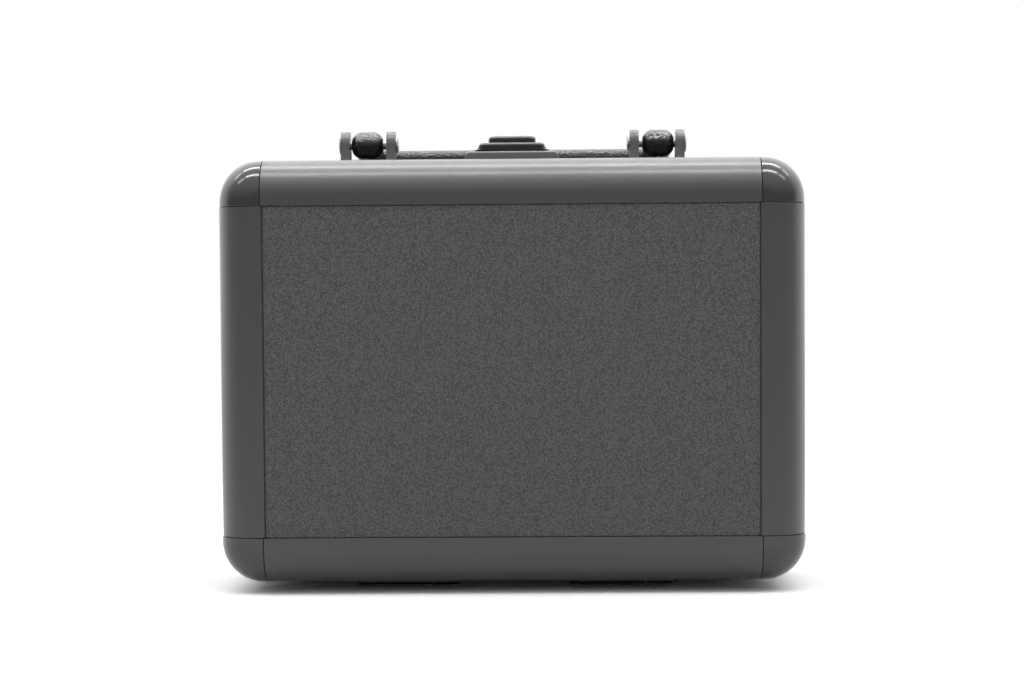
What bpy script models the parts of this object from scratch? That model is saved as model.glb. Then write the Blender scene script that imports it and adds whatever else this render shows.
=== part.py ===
"""Graded card storage case: two framed shells, hinged along the bottom, with a folding handle and a keyed hasp.

Metres, +Z up. The case stands on its hinge side with the lid to the front (-Y). The origin lies on the
floor under the middle of the case. Every piece is its own object, and moving pieces hang from an empty
that stands on their joint's axis.
"""

import math

import bmesh
import bpy
from mathutils import Vector

# Whole case
CASE_WIDTH = 0.284
CASE_HEIGHT = 0.205
CASE_DEPTH = 0.112
LID_DEPTH = 0.050
STAND_HEIGHT = 0.0052
SEAT_GAP = 0.0003
CUT_OVERRUN = 0.002

# Frame section: a quarter-round nose round the face panel and a flat wall back to the rim
FRAME_WIDTH = 0.0225
EDGE_RADIUS = 0.0190
CORNER_RADIUS = 0.0205
FRAME_SKIN = 0.0018
FACE_LIP = 0.0012
FIN_THICKNESS = 0.0012
CORNER_WALL = 0.0024
RIM_WIDTH = 0.0062
RIM_HEIGHT = 0.0070
TONGUE_INSET = 0.0022
TONGUE_WIDTH = 0.0018
TONGUE_HEIGHT = 0.0020
TONGUE_CLEARANCE = 0.0006

# Face panels
PANEL_THICKNESS = 0.0032
PANEL_TUCK = 0.0040

# Foam inserts, with the bay that the cards stand in on their long edges
FOAM_CHAMFER = 0.0030
BAY_WIDTH = 0.236
BAY_HEIGHT = 0.140
BAY_CORNER = 0.004
BASE_FOAM_FLOOR = 0.0080
LID_FOAM_FLOOR = 0.0055
FOAM_SETBACK = 0.0005
DIVIDER_THICKNESS = 0.006
DIVIDER_SETBACK = 0.004
DIVIDER_CORNER = 0.006
BAY_COUNT = 3

# Hinges, two alike and not mirrored
HINGE_SPACING = 0.1062
LONG_KNUCKLE = 0.0372
SHORT_KNUCKLE = 0.0128
KNUCKLE_GAP = 0.0010
LEAF_REACH = 0.0190
LEAF_THICKNESS = 0.0018
LEAF_CORNER = 0.0030
HINGE_PIN_RADIUS = 0.0012
HINGE_PIN_DOME = 0.0006
RUNNING_GAP = 0.0003

# Feet on the hinge side of the base
FOOT_RADIUS = 0.0065
FOOT_TIP_RADIUS = 0.0057
FOOT_ROUNDING = 0.0010
FOOT_END_INSET = 0.0340
FOOT_NOSE_INSET = 0.0050
FOOT_ROW_SPACING = 0.0160

# Handle and its two brackets
HANDLE_SPACING = 0.1457
HANDLE_SETBACK = 0.0120
HANDLE_PIVOT_HEIGHT = 0.0101
HANDLE_REACH = 0.0350
HANDLE_BEND_RADIUS = 0.0125
GRIP_WIDTH = 0.0140
GRIP_THICKNESS = 0.0087
GRIP_ROUNDING = 0.0032
GRIP_SWELL = 0.0008
BARREL_LENGTH = 0.0150
BARREL_RADIUS = 0.0068
BARREL_END_LENGTH = 0.0036
BARREL_END_DROP = 0.0039
EAR_THICKNESS = 0.0046
EAR_RADIUS = 0.0067
OUTER_EAR_GAP = 0.0012
INNER_EAR_GAP = 0.0022
BRACKET_DEPTH = 0.0200
BRACKET_PLATE = 0.0024
HANDLE_PIN_RADIUS = 0.0022
OUTER_HEAD_RADIUS = 0.0047
OUTER_HEAD_HEIGHT = 0.0011
INNER_HEAD_RADIUS = 0.0035
INNER_HEAD_HEIGHT = 0.0014
PIN_HEAD_GAP = 0.0003

# Latch: strike on the lid, base plate, hasp and keyed lock on the base
STRIKE_WIDTH = 0.0463
STRIKE_DEPTH = 0.0137
STRIKE_TOP = 0.0050
STRIKE_CORNER = 0.0019
STRIKE_EDGE = 0.0008
LATCH_BASE_WIDTH = 0.0400
LATCH_BASE_DEPTH = 0.0300
LATCH_BASE_PLATE = 0.0020
LUG_THICKNESS = 0.0035
LUG_RADIUS = 0.0034
HASP_WIDTH = 0.0334
HASP_TOP = 0.0094
HASP_NOSE_RADIUS = 0.0024
HASP_SIDE_ROUNDING = 0.0012
HASP_SIDE_DRAFT = 0.0005
HASP_CORNER = 0.0026
HASP_PLATE = 0.0039
HASP_REACH = 0.0110
HASP_SKIRT = 0.0032
HASP_SKIRT_GAP = 0.0004
HASP_FLANGE_WIDTH = 0.0356
HASP_FLANGE_THICKNESS = 0.0005
HASP_FLANGE_FLARE = 0.0006
HASP_FLANGE_LIP = 0.0006
HASP_BODY_CLEARANCE = 0.0012
HASP_PIVOT_SETBACK = 0.0250
HASP_PIVOT_HEIGHT = 0.0060
HASP_BARREL_RADIUS = 0.0032
HASP_PIN_RADIUS = 0.0014
HASP_PIN_OVERHANG = 0.0008
LATCH_SIDE_GAP = 0.0005
LOCK_SETBACK = 0.0070
BEZEL_WIDTH = 0.0232
BEZEL_LENGTH = 0.0190
BEZEL_CORNER = 0.0034
BEZEL_TOP = 0.0133
BEZEL_ROUNDING = 0.0016
BEZEL_SIDE_ROUNDING = 0.0008
BEZEL_DRAFT = 0.0003
PLUG_RADIUS = 0.0058
PLUG_PROUD = 0.0003
KEYWAY_LENGTH = 0.0070
KEYWAY_WIDTH = 0.0014
KEYWAY_DEPTH = 0.0040
CAM_HEIGHT = 0.0026
CAM_THICKNESS = 0.0012
CAM_REACH = 0.0105
CAM_WIDTH = 0.0060

# Forms, as shares of the sizes that they follow
EAR_WAIST_SHARE = 0.333
GRIP_STATION_SHARES = (0.75, 0.5, 0.25)

# Facets
NOSE_STEPS = 7
INNER_STEPS = 3
CORNER_STEPS = 8
SMALL_ARC_STEPS = 4
ROUND_STEPS = 24
PIN_STEPS = 14
BEND_STEPS = 8
MERGE_DISTANCE = 0.000001
SHARP_ANGLE = math.radians(35)

# Places worked out from the sizes above
LID_FACE_Y = -CASE_DEPTH / 2
BACK_FACE_Y = CASE_DEPTH / 2
PARTING_Y = LID_FACE_Y + LID_DEPTH
BASE_DEPTH = CASE_DEPTH - LID_DEPTH - SEAT_GAP
TOP_Z = STAND_HEIGHT + CASE_HEIGHT
MID_Z = STAND_HEIGHT + CASE_HEIGHT / 2
FACE_HALF_WIDTH = CASE_WIDTH / 2 - FRAME_WIDTH
FACE_HALF_HEIGHT = CASE_HEIGHT / 2 - FRAME_WIDTH
SLOT_BACK = FACE_LIP + PANEL_THICKNESS + 2 * SEAT_GAP
FIN_BACK = SLOT_BACK + FIN_THICKNESS
SLOT_BOTTOM = FRAME_WIDTH - PANEL_TUCK - SEAT_GAP
WEB_INSET = SLOT_BOTTOM - FRAME_SKIN
HINGE_WIDTH = LONG_KNUCKLE + KNUCKLE_GAP + SHORT_KNUCKLE
KNUCKLE_RADIUS = (STAND_HEIGHT - SEAT_GAP) / 2
HINGE_AXIS = Vector((0, PARTING_Y, KNUCKLE_RADIUS))
HANDLE_AXIS = Vector((0, PARTING_Y + HANDLE_SETBACK, TOP_Z + HANDLE_PIVOT_HEIGHT))
HANDLE_FOLD = math.asin((HANDLE_PIVOT_HEIGHT - GRIP_THICKNESS / 2 - SEAT_GAP) / HANDLE_REACH)
HASP_AXIS = Vector((0, PARTING_Y + HASP_PIVOT_SETBACK, TOP_Z + HASP_PIVOT_HEIGHT))
HASP_UNDERSIDE = HASP_TOP - HASP_PLATE
HASP_BARREL_HALF = HASP_WIDTH / 2 - LUG_THICKNESS / 2 - LATCH_SIDE_GAP
LOCK_AXIS = Vector((0, PARTING_Y + LOCK_SETBACK, TOP_Z + HASP_UNDERSIDE))
BAY_PITCH = (BAY_WIDTH + DIVIDER_THICKNESS) / BAY_COUNT
BASE_BAY_FLOOR_Y = BACK_FACE_Y - FIN_BACK - SEAT_GAP - BASE_FOAM_FLOOR
LID_BAY_FLOOR_Y = LID_FACE_Y + FIN_BACK + SEAT_GAP + LID_FOAM_FLOOR


def clear_scene():
    for obj in list(bpy.data.objects):
        bpy.data.objects.remove(obj)


def material(name, colour, roughness, metallic=0.0):
    made = bpy.data.materials.new(name)
    made.use_nodes = True
    shader = made.node_tree.nodes["Principled BSDF"]
    shader.inputs["Base Color"].default_value = (*colour, 1.0)
    shader.inputs["Roughness"].default_value = roughness
    shader.inputs["Metallic"].default_value = metallic
    made.diffuse_color = (*colour, 1.0)
    return made


def empty_at(name, place, parent=None):
    """An empty on a joint's axis. Its world place is kept in the object, to place what hangs from it."""
    empty = bpy.data.objects.new(name, None)
    bpy.context.scene.collection.objects.link(empty)
    empty["world_place"] = tuple(place)
    if parent:
        empty.parent = parent
    empty.location = Vector(place) - world_place(parent)
    return empty


def world_place(parent):
    return Vector(parent["world_place"]) if parent else Vector((0, 0, 0))


def object_from(name, mesh, finish, place=(0, 0, 0), turn=(0, 0, 0), parent=None):
    obj = bpy.data.objects.new(name, mesh)
    if finish and not mesh.materials:
        mesh.materials.append(finish)
    bpy.context.scene.collection.objects.link(obj)
    obj.parent = parent
    obj.location = Vector(place) - world_place(parent)
    obj.rotation_euler = turn
    return obj


def mesh_from(name, bm, origin=(0, 0, 0)):
    """The bmesh as a mesh whose zero is origin, with its faces turned outwards and its round sides smooth."""
    bmesh.ops.remove_doubles(bm, verts=bm.verts, dist=MERGE_DISTANCE)
    bmesh.ops.recalc_face_normals(bm, faces=bm.faces)
    bmesh.ops.translate(bm, verts=bm.verts, vec=-Vector(origin))
    mesh = bpy.data.meshes.new(name)
    bm.to_mesh(mesh)
    bm.free()
    mesh.shade_smooth()
    mesh.set_sharp_from_angle(angle=SHARP_ANGLE)
    return mesh


def arc(centre, radius, start, end, steps):
    """Points along an arc, from the angle start to the angle end, both in degrees and both included."""
    angles = (math.radians(start + (end - start) * i / steps) for i in range(steps + 1))
    return [(centre[0] + radius * math.cos(a), centre[1] + radius * math.sin(a)) for a in angles]


def rounded_box(half_a, half_b, radius, steps, centre=(0, 0)):
    """The outline of a rectangle with round corners, anticlockwise."""
    corners = ((1, 1, 0), (-1, 1, 90), (-1, -1, 180), (1, -1, 270))
    points = []
    for side_a, side_b, start in corners:
        middle = (centre[0] + side_a * (half_a - radius), centre[1] + side_b * (half_b - radius))
        points += arc(middle, radius, start, start + 90, steps)
    return points


def prism(outline, across, start, end):
    """The outline, in the two axes other than across, carried along the axis across from start to end."""
    place = {
        "X": lambda a, b: (start, a, b),
        "Y": lambda a, b: (a, start, b),
        "Z": lambda a, b: (a, b, start),
    }[across]
    bm = bmesh.new()
    face = bm.faces.new([bm.verts.new(place(a, b)) for a, b in outline])
    run = Vector(tuple(float(axis == across) for axis in "XYZ")) * (end - start)
    grown = bmesh.ops.extrude_face_region(bm, geom=[face])
    bmesh.ops.translate(bm, verts=[v for v in grown["geom"] if isinstance(v, bmesh.types.BMVert)], vec=run)
    return bm


def loft(loops):
    """Closed body through loops of equal length, capped at the first and the last."""
    bm = bmesh.new()
    rings = [[bm.verts.new(point) for point in loop] for loop in loops]
    count = len(rings[0])
    for near, far in zip(rings, rings[1:]):
        for i in range(count):
            j = (i + 1) % count
            bm.faces.new((near[i], near[j], far[j], far[i]))
    bm.faces.new(rings[0])
    bm.faces.new(rings[-1])
    return bm


def turned(profile, along, centre, steps):
    """A profile of (distance along the axis, radius), from axis to axis or closed, turned full circle."""
    axis = Vector(tuple(float(axis == along) for axis in "XYZ"))
    outward = Vector((0, 0, 1)) if along == "X" else Vector((1, 0, 0))
    bm = bmesh.new()
    verts = [bm.verts.new(Vector(centre) + axis * a + outward * r) for a, r in profile]
    edges = [bm.edges.new(pair) for pair in zip(verts, verts[1:])]
    if profile[0][1] > 0:
        edges.append(bm.edges.new((verts[-1], verts[0])))
    bmesh.ops.spin(
        bm, geom=verts + edges, cent=centre, axis=axis, angle=math.tau, steps=steps, use_merge=True
    )
    return bm


def cutter(name, bm, origin, parent):
    """A helper that a Boolean reads and that isn't part of the case."""
    helper = object_from(name, mesh_from(name, bm, origin), None, origin, parent=parent)
    helper.hide_render = True
    helper.display_type = "WIRE"
    return helper


def combine(obj, operation, helper):
    step = obj.modifiers.new(helper.name, "BOOLEAN")
    step.operation = operation
    step.object = helper


def nose_points():
    """The outer quarter round, as (inset from the outer wall, depth from the face), from face to wall."""
    turned_points = arc((EDGE_RADIUS, EDGE_RADIUS), EDGE_RADIUS, 270, 180, NOSE_STEPS)
    return [(FRAME_WIDTH, 0), *turned_points]


def rim_points(depth, tongued):
    """The parting face with its tongue, or with the groove that takes it, from outside in."""
    if tongued:
        near, far, level = TONGUE_INSET, TONGUE_INSET + TONGUE_WIDTH, depth + TONGUE_HEIGHT
    else:
        near = TONGUE_INSET - TONGUE_CLEARANCE
        far = TONGUE_INSET + TONGUE_WIDTH + TONGUE_CLEARANCE
        level = depth - TONGUE_HEIGHT
    step = [(near, depth), (near, level), (far, level), (far, depth)]
    return [(0, depth), *step, (RIM_WIDTH, depth), (RIM_WIDTH, depth - RIM_HEIGHT)]


def frame_section(depth, tongued):
    """A side extrusion's section: nose, wall, rim, and the slot that grips the face panel's edge."""
    inner_radius = EDGE_RADIUS - FRAME_SKIN
    stop = 180 + math.degrees(math.acos((EDGE_RADIUS - WEB_INSET) / inner_radius))
    inner = arc((EDGE_RADIUS, EDGE_RADIUS), inner_radius, 180, stop, INNER_STEPS)
    slot = [
        (WEB_INSET, FIN_BACK),
        (FRAME_WIDTH, FIN_BACK),
        (FRAME_WIDTH, SLOT_BACK),
        (SLOT_BOTTOM, SLOT_BACK),
        (SLOT_BOTTOM, FACE_LIP),
        (FRAME_WIDTH, FACE_LIP),
    ]
    wall = [(FRAME_SKIN, depth - RIM_HEIGHT)]
    return nose_points() + rim_points(depth, tongued) + wall + inner + slot


def corner_section(depth, tongued):
    """A corner moulding's section: the same outside, and a plain wall inside that ends at the panel's corner."""
    inner = arc((EDGE_RADIUS, EDGE_RADIUS), EDGE_RADIUS - CORNER_WALL, 180, 270, INNER_STEPS)
    wall = [(CORNER_WALL, depth - RIM_HEIGHT)]
    return nose_points() + rim_points(depth, tongued) + wall + inner + [(FRAME_WIDTH, CORNER_WALL)]


def side_mesh(name, length, depth, tongued):
    """A side extrusion that runs along X, with its outer wall up and its face at y = 0."""
    outline = [(v, -w) for w, v in frame_section(depth, tongued)]
    return mesh_from(name, prism(outline, "X", -length / 2, length / 2))


def corner_mesh(name, depth, tongued):
    """A corner moulding for the quadrant +X +Z, with the panel's corner at zero and its face at y = 0.

    The section fans out from the panel's corner and is stretched to reach the rounded outline.
    """
    middle = FRAME_WIDTH - CORNER_RADIUS
    outline = [(FRAME_WIDTH, 0), *arc((middle, middle), CORNER_RADIUS, 0, 90, CORNER_STEPS), (0, FRAME_WIDTH)]
    section = corner_section(depth, tongued)
    loops = []
    for x, z in outline:
        loops.append([(x * (1 - w / FRAME_WIDTH), v, z * (1 - w / FRAME_WIDTH)) for w, v in section])
    return mesh_from(name, loft(loops))


def make_shell(shell, face_y, depth, tongued, turn_z, finishes, parent):
    """Four extrusions, four corner mouldings and the face panel of one shell."""
    width = 2 * FACE_HALF_WIDTH - 2 * SEAT_GAP
    height = 2 * FACE_HALF_HEIGHT - 2 * SEAT_GAP
    long_side = side_mesh(f"{shell}_long_side", width, depth, tongued)
    short_side = side_mesh(f"{shell}_short_side", height, depth, tongued)
    sides = (
        ("top", long_side, (0, CASE_HEIGHT / 2), 0),
        ("bottom", long_side, (0, -CASE_HEIGHT / 2), 180),
        ("right", short_side, (CASE_WIDTH / 2, 0), 90),
        ("left", short_side, (-CASE_WIDTH / 2, 0), 270),
    )
    for side, mesh, (x, z), angle in sides:
        spun = angle if turn_z == 0 else -angle
        turn = (0, math.radians(spun), turn_z)
        object_from(f"{shell}_frame_{side}", mesh, finishes["frame"], (x, face_y, MID_Z + z), turn, parent)
    corner = corner_mesh(f"{shell}_corner", depth, tongued)
    corners = (
        ("top_right", 1, 1, 0),
        ("bottom_right", 1, -1, 90),
        ("bottom_left", -1, -1, 180),
        ("top_left", -1, 1, 270),
    )
    for name, side_x, side_z, angle in corners:
        spun = angle if turn_z == 0 else -90 - angle
        place = (side_x * FACE_HALF_WIDTH, face_y, MID_Z + side_z * FACE_HALF_HEIGHT)
        turn = (0, math.radians(spun), turn_z)
        object_from(f"{shell}_corner_{name}", corner, finishes["corner"], place, turn, parent)
    inward = 1 if turn_z == 0 else -1
    front = FACE_LIP + SEAT_GAP
    panel = prism(panel_outline(), "Y", inward * front, inward * (front + PANEL_THICKNESS))
    mesh = mesh_from(f"{shell}_face_panel", panel)
    object_from(f"{shell}_face_panel", mesh, finishes["panel"], (0, face_y, MID_Z), parent=parent)


def panel_outline():
    """The face panel: its four edges reach into the frame's slots, and its corners are notched."""
    wide, tall = FACE_HALF_WIDTH, FACE_HALF_HEIGHT
    out = PANEL_TUCK
    back = 2 * SEAT_GAP
    quadrant = [(wide + out, tall - back), (wide - back, tall - back), (wide - back, tall + out)]
    points = []
    for side_x, side_z in ((1, 1), (-1, 1), (-1, -1), (1, -1)):
        part = [(side_x * x, side_z * z) for x, z in quadrant]
        points += part if side_x * side_z > 0 else part[::-1]
    return points


def make_foam(name, face_y, inward, mouth_y, bay_floor_y, finish, parent):
    """A foam insert that fills one shell, chamfered at the nose, with the card bay let into it."""
    edge = RIM_WIDTH + SEAT_GAP
    outer = (CASE_WIDTH / 2 - edge, CASE_HEIGHT / 2 - edge, CORNER_RADIUS - edge)
    nose_y = face_y + inward * (FIN_BACK + SEAT_GAP)
    levels = (
        (nose_y, tuple(size - FOAM_CHAMFER for size in outer)),
        (nose_y + inward * FOAM_CHAMFER, outer),
        (mouth_y, outer),
        (mouth_y, (BAY_WIDTH / 2, BAY_HEIGHT / 2, BAY_CORNER)),
        (bay_floor_y, (BAY_WIDTH / 2, BAY_HEIGHT / 2, BAY_CORNER)),
    )
    loops = []
    for y, (half_x, half_z, radius) in levels:
        outline = rounded_box(half_x, half_z, radius, SMALL_ARC_STEPS)
        loops.append([(x, y, MID_Z + z) for x, z in outline])
    object_from(name, mesh_from(name, loft(loops), HINGE_AXIS), finish, HINGE_AXIS, parent=parent)


def make_dividers(finish):
    """Foam plates that stand across the bay of the base, with their exposed corners rounded."""
    front = PARTING_Y + SEAT_GAP + DIVIDER_SETBACK
    back = BASE_BAY_FLOOR_Y - SEAT_GAP
    low = MID_Z - BAY_HEIGHT / 2 + SEAT_GAP
    high = MID_Z + BAY_HEIGHT / 2 - SEAT_GAP
    rounding = DIVIDER_CORNER
    outline = [
        (back, low),
        (back, high),
        *arc((front + rounding, high - rounding), rounding, 90, 180, SMALL_ARC_STEPS),
        *arc((front + rounding, low + rounding), rounding, 180, 270, SMALL_ARC_STEPS),
    ]
    for index in range(BAY_COUNT - 1):
        x = -BAY_WIDTH / 2 + BAY_PITCH * (index + 1) - DIVIDER_THICKNESS / 2
        name = f"foam_divider_{index + 1}"
        plate = prism(outline, "X", x - DIVIDER_THICKNESS / 2, x + DIVIDER_THICKNESS / 2)
        object_from(name, mesh_from(name, plate), finish)


def hinge_leaf(name, centre_x, own, side, finish, parent):
    """A leaf screwed under one shell. It reaches the pin only across its own knuckle, (start, end) in own."""
    y = PARTING_Y
    low, high = centre_x - HINGE_WIDTH / 2, centre_x + HINGE_WIDTH / 2
    far = y + side * LEAF_REACH
    clear = y + side * (KNUCKLE_RADIUS + SEAT_GAP)
    round_high = arc(
        (high - LEAF_CORNER, far - side * LEAF_CORNER), LEAF_CORNER, 0, side * 90, SMALL_ARC_STEPS
    )
    round_low = arc(
        (low + LEAF_CORNER, far - side * LEAF_CORNER), LEAF_CORNER, side * 90, side * 180, SMALL_ARC_STEPS
    )
    start, end = own
    tail = [(low, y), (end, y), (end, clear)] if start == low else [(low, clear), (start, clear), (start, y)]
    near = tail + ([(high, clear)] if start == low else [(high, y)])
    outline = near + round_high + round_low
    bottom = STAND_HEIGHT - SEAT_GAP - LEAF_THICKNESS
    plate = prism(outline, "Z", bottom, STAND_HEIGHT - SEAT_GAP)
    leaf = object_from(name, mesh_from(name, plate, HINGE_AXIS), finish, HINGE_AXIS, parent=parent)
    rod = [(start, 0), (start, KNUCKLE_RADIUS), (end, KNUCKLE_RADIUS), (end, 0)]
    knuckle = turned(rod, "X", HINGE_AXIS, ROUND_STEPS)
    combine(leaf, "UNION", cutter(f"{name}_knuckle", knuckle, HINGE_AXIS, parent))
    bore_radius = HINGE_PIN_RADIUS + RUNNING_GAP
    low, high = low - CUT_OVERRUN, high + CUT_OVERRUN
    hole = [(low, 0), (low, bore_radius), (high, bore_radius), (high, 0)]
    bore = turned(hole, "X", HINGE_AXIS, PIN_STEPS)
    combine(leaf, "DIFFERENCE", cutter(f"{name}_bore", bore, HINGE_AXIS, parent))


def make_hinges(finishes, lid_pivot):
    for side, centre_x in (("left", -HINGE_SPACING / 2), ("right", HINGE_SPACING / 2)):
        start = centre_x - HINGE_WIDTH / 2
        end = centre_x + HINGE_WIDTH / 2
        long_span = (start, start + LONG_KNUCKLE)
        short_span = (end - SHORT_KNUCKLE, end)
        hinge_leaf(f"hinge_{side}_base_leaf", centre_x, long_span, 1, finishes["hinge"], None)
        hinge_leaf(f"hinge_{side}_lid_leaf", centre_x, short_span, -1, finishes["hinge"], lid_pivot)
        dome = HINGE_PIN_DOME
        rod = [
            (start - dome, 0),
            (start, HINGE_PIN_RADIUS),
            (end, HINGE_PIN_RADIUS),
            (end + dome, 0),
        ]
        name = f"hinge_{side}_pin"
        pin = mesh_from(name, turned(rod, "X", HINGE_AXIS, PIN_STEPS), HINGE_AXIS)
        object_from(name, pin, finishes["pin"], HINGE_AXIS)


def make_feet(finish):
    """Turned rubber feet under the base, as high as the hinge knuckles."""
    top = STAND_HEIGHT - SEAT_GAP
    sole = arc((FOOT_ROUNDING, FOOT_TIP_RADIUS - FOOT_ROUNDING), FOOT_ROUNDING, 180, 90, SMALL_ARC_STEPS)
    profile = [(0, 0), *sole, (top, FOOT_RADIUS), (top, 0)]
    mesh = mesh_from("foot", turned(profile, "Z", (0, 0, 0), ROUND_STEPS))
    rear = BACK_FACE_Y - EDGE_RADIUS - FOOT_NOSE_INSET
    reach = CASE_WIDTH / 2 - FOOT_END_INSET
    for row, y in (("front", rear - FOOT_ROW_SPACING), ("rear", rear)):
        for side, x in (("left", -reach), ("right", reach)):
            object_from(f"foot_{row}_{side}", mesh, finish, (x, y, 0))


def forked(name, front, side_outline, depth_span, width_span, finish, origin):
    """A plate with two ears: the front outline carried along Y, kept where the side outline along X covers it."""
    start, end = depth_span
    body = object_from(name, mesh_from(name, prism(front, "Y", start, end), origin), finish, origin)
    low, high = width_span
    keep = prism(side_outline, "X", low - CUT_OVERRUN, high + CUT_OVERRUN)
    combine(body, "INTERSECT", cutter(f"{name}_side", keep, origin, None))
    return body


def drill(obj, name, along, centre, radius, span, steps, parent=None):
    start, end = span
    hole = [(start, 0), (start, radius), (end, radius), (end, 0)]
    bore = turned(hole, along, centre, steps)
    combine(obj, "DIFFERENCE", cutter(name, bore, centre, parent))


def ear_side(middle_y, pivot_z, radius, foot_depth, foot_top, bottom):
    """The side view of a plate with an ear: a long foot, then an ear that narrows to a round head."""
    half = foot_depth / 2
    waist = foot_top + (pivot_z - foot_top) * EAR_WAIST_SHARE
    head = arc((middle_y, pivot_z), radius, 0, 180, 2 * SMALL_ARC_STEPS)
    flare = half - (half - radius) * EAR_WAIST_SHARE
    return [
        (middle_y - half, bottom),
        (middle_y + half, bottom),
        (middle_y + half, foot_top),
        (middle_y + flare, foot_top),
        (middle_y + radius, waist),
        *head,
        (middle_y - radius, waist),
        (middle_y - flare, foot_top),
        (middle_y - half, foot_top),
    ]


def make_bracket(side, sign, finishes):
    """A riveted fork on the base's top side that carries one end of the handle, and its pin."""
    inner = HANDLE_SPACING / 2 - BARREL_LENGTH / 2 - INNER_EAR_GAP - EAR_THICKNESS
    outer = HANDLE_SPACING / 2 + BARREL_LENGTH / 2 + OUTER_EAR_GAP + EAR_THICKNESS
    bottom = TOP_Z + SEAT_GAP
    plate_top = bottom + BRACKET_PLATE
    ear_top = HANDLE_AXIS.z + EAR_RADIUS + CUT_OVERRUN
    inner_x, outer_x = sign * inner, sign * outer
    front = [
        (inner_x, bottom),
        (outer_x, bottom),
        (outer_x, ear_top),
        (outer_x - sign * EAR_THICKNESS, ear_top),
        (outer_x - sign * EAR_THICKNESS, plate_top),
        (inner_x + sign * EAR_THICKNESS, plate_top),
        (inner_x + sign * EAR_THICKNESS, ear_top),
        (inner_x, ear_top),
    ]
    outline = ear_side(
        HANDLE_AXIS.y, HANDLE_AXIS.z, EAR_RADIUS, BRACKET_DEPTH, plate_top, bottom - CUT_OVERRUN
    )
    centre = Vector((sign * HANDLE_SPACING / 2, HANDLE_AXIS.y, HANDLE_AXIS.z))
    half = BRACKET_DEPTH / 2
    depth_span = (centre.y - half - CUT_OVERRUN, centre.y + half + CUT_OVERRUN)
    width_span = (min(inner_x, outer_x), max(inner_x, outer_x))
    name = f"handle_bracket_{side}"
    bracket = forked(name, front, outline, depth_span, width_span, finishes["bracket"], centre)
    reach = (outer - inner) / 2 + BARREL_LENGTH
    bore_radius = HANDLE_PIN_RADIUS + RUNNING_GAP
    drill(bracket, f"{name}_bore", "X", centre, bore_radius, (-reach, reach), PIN_STEPS)

    inner_face = inner - PIN_HEAD_GAP
    outer_face = outer + PIN_HEAD_GAP
    dome = arc((0, 0), 1, 0, 90, SMALL_ARC_STEPS)
    profile = [
        (inner_face - INNER_HEAD_HEIGHT, 0),
        (inner_face - INNER_HEAD_HEIGHT, HANDLE_PIN_RADIUS),
        (inner_face - INNER_HEAD_HEIGHT / 2, INNER_HEAD_RADIUS),
        (inner_face, INNER_HEAD_RADIUS),
        (inner_face, HANDLE_PIN_RADIUS),
        (outer_face, HANDLE_PIN_RADIUS),
        *((outer_face + OUTER_HEAD_HEIGHT * b, OUTER_HEAD_RADIUS * a) for a, b in dome[:-1]),
        (outer_face + OUTER_HEAD_HEIGHT, 0),
    ]
    profile = [(sign * reach, radius) for reach, radius in profile]
    name = f"handle_pin_{side}"
    pin = mesh_from(name, turned(profile, "X", HANDLE_AXIS, PIN_STEPS), HANDLE_AXIS)
    object_from(name, pin, finishes["pin"], HANDLE_AXIS)


def handle_loops():
    """Cross sections along the handle's path, out along one arm, across the grip and back, pivot at zero.

    The path lies in the X Y plane. The grip swells a little towards its middle.
    """
    half = HANDLE_SPACING / 2
    bend = HANDLE_BEND_RADIUS
    outline = rounded_box(GRIP_WIDTH / 2, GRIP_THICKNESS / 2, GRIP_ROUNDING, SMALL_ARC_STEPS)
    corner = half - bend, HANDLE_REACH - bend
    right_bend = arc(corner, bend, 0, 90, BEND_STEPS)
    right = [((half, 0), 0)]
    right += [(point, 90 * i / BEND_STEPS) for i, point in enumerate(right_bend)]
    right += [((corner[0] * share, HANDLE_REACH), 90) for share in GRIP_STATION_SHARES]
    left = [((-x, y), 180 - angle) for (x, y), angle in reversed(right)]
    loops = []
    for (x, y), angle in [*right, ((0, HANDLE_REACH), 90), *left]:
        outward = Vector((math.cos(math.radians(angle)), math.sin(math.radians(angle)), 0))
        if y == HANDLE_REACH:
            swell = 1 + GRIP_SWELL / GRIP_WIDTH * math.cos(math.pi / 2 * x / half)
        else:
            swell = 1
        centre = Vector((x, y, 0))
        loops.append([centre + outward * a * swell + Vector((0, 0, b)) for a, b in outline])
    return loops


def make_handle(finish, pivot):
    """A moulded loop with a barrel on each end, folded back against the base."""
    bm = loft(handle_loops())
    handle = object_from("handle", mesh_from("handle", bm), finish, HANDLE_AXIS, (-HANDLE_FOLD, 0, 0), pivot)
    half = BARREL_LENGTH / 2
    end = [
        (half - BARREL_END_LENGTH * (1 - a), BARREL_RADIUS - BARREL_END_DROP * (1 - b))
        for a, b in arc((0, 0), 1, 90, 0, SMALL_ARC_STEPS)
    ]
    barrel = [(-half, 0), *((-x, radius) for x, radius in reversed(end)), *end, (half, 0)]
    for side, x in (("left", -HANDLE_SPACING / 2), ("right", HANDLE_SPACING / 2)):
        centre = HANDLE_AXIS + Vector((x, 0, 0))
        turned_barrel = turned(barrel, "X", centre, ROUND_STEPS)
        combine(handle, "UNION", cutter(f"handle_barrel_{side}", turned_barrel, centre, pivot))
    reach = HANDLE_SPACING / 2 + BARREL_LENGTH
    bore_radius = HANDLE_PIN_RADIUS + RUNNING_GAP
    drill(handle, "handle_bore", "X", HANDLE_AXIS, bore_radius, (-reach, reach), PIN_STEPS, pivot)


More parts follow.
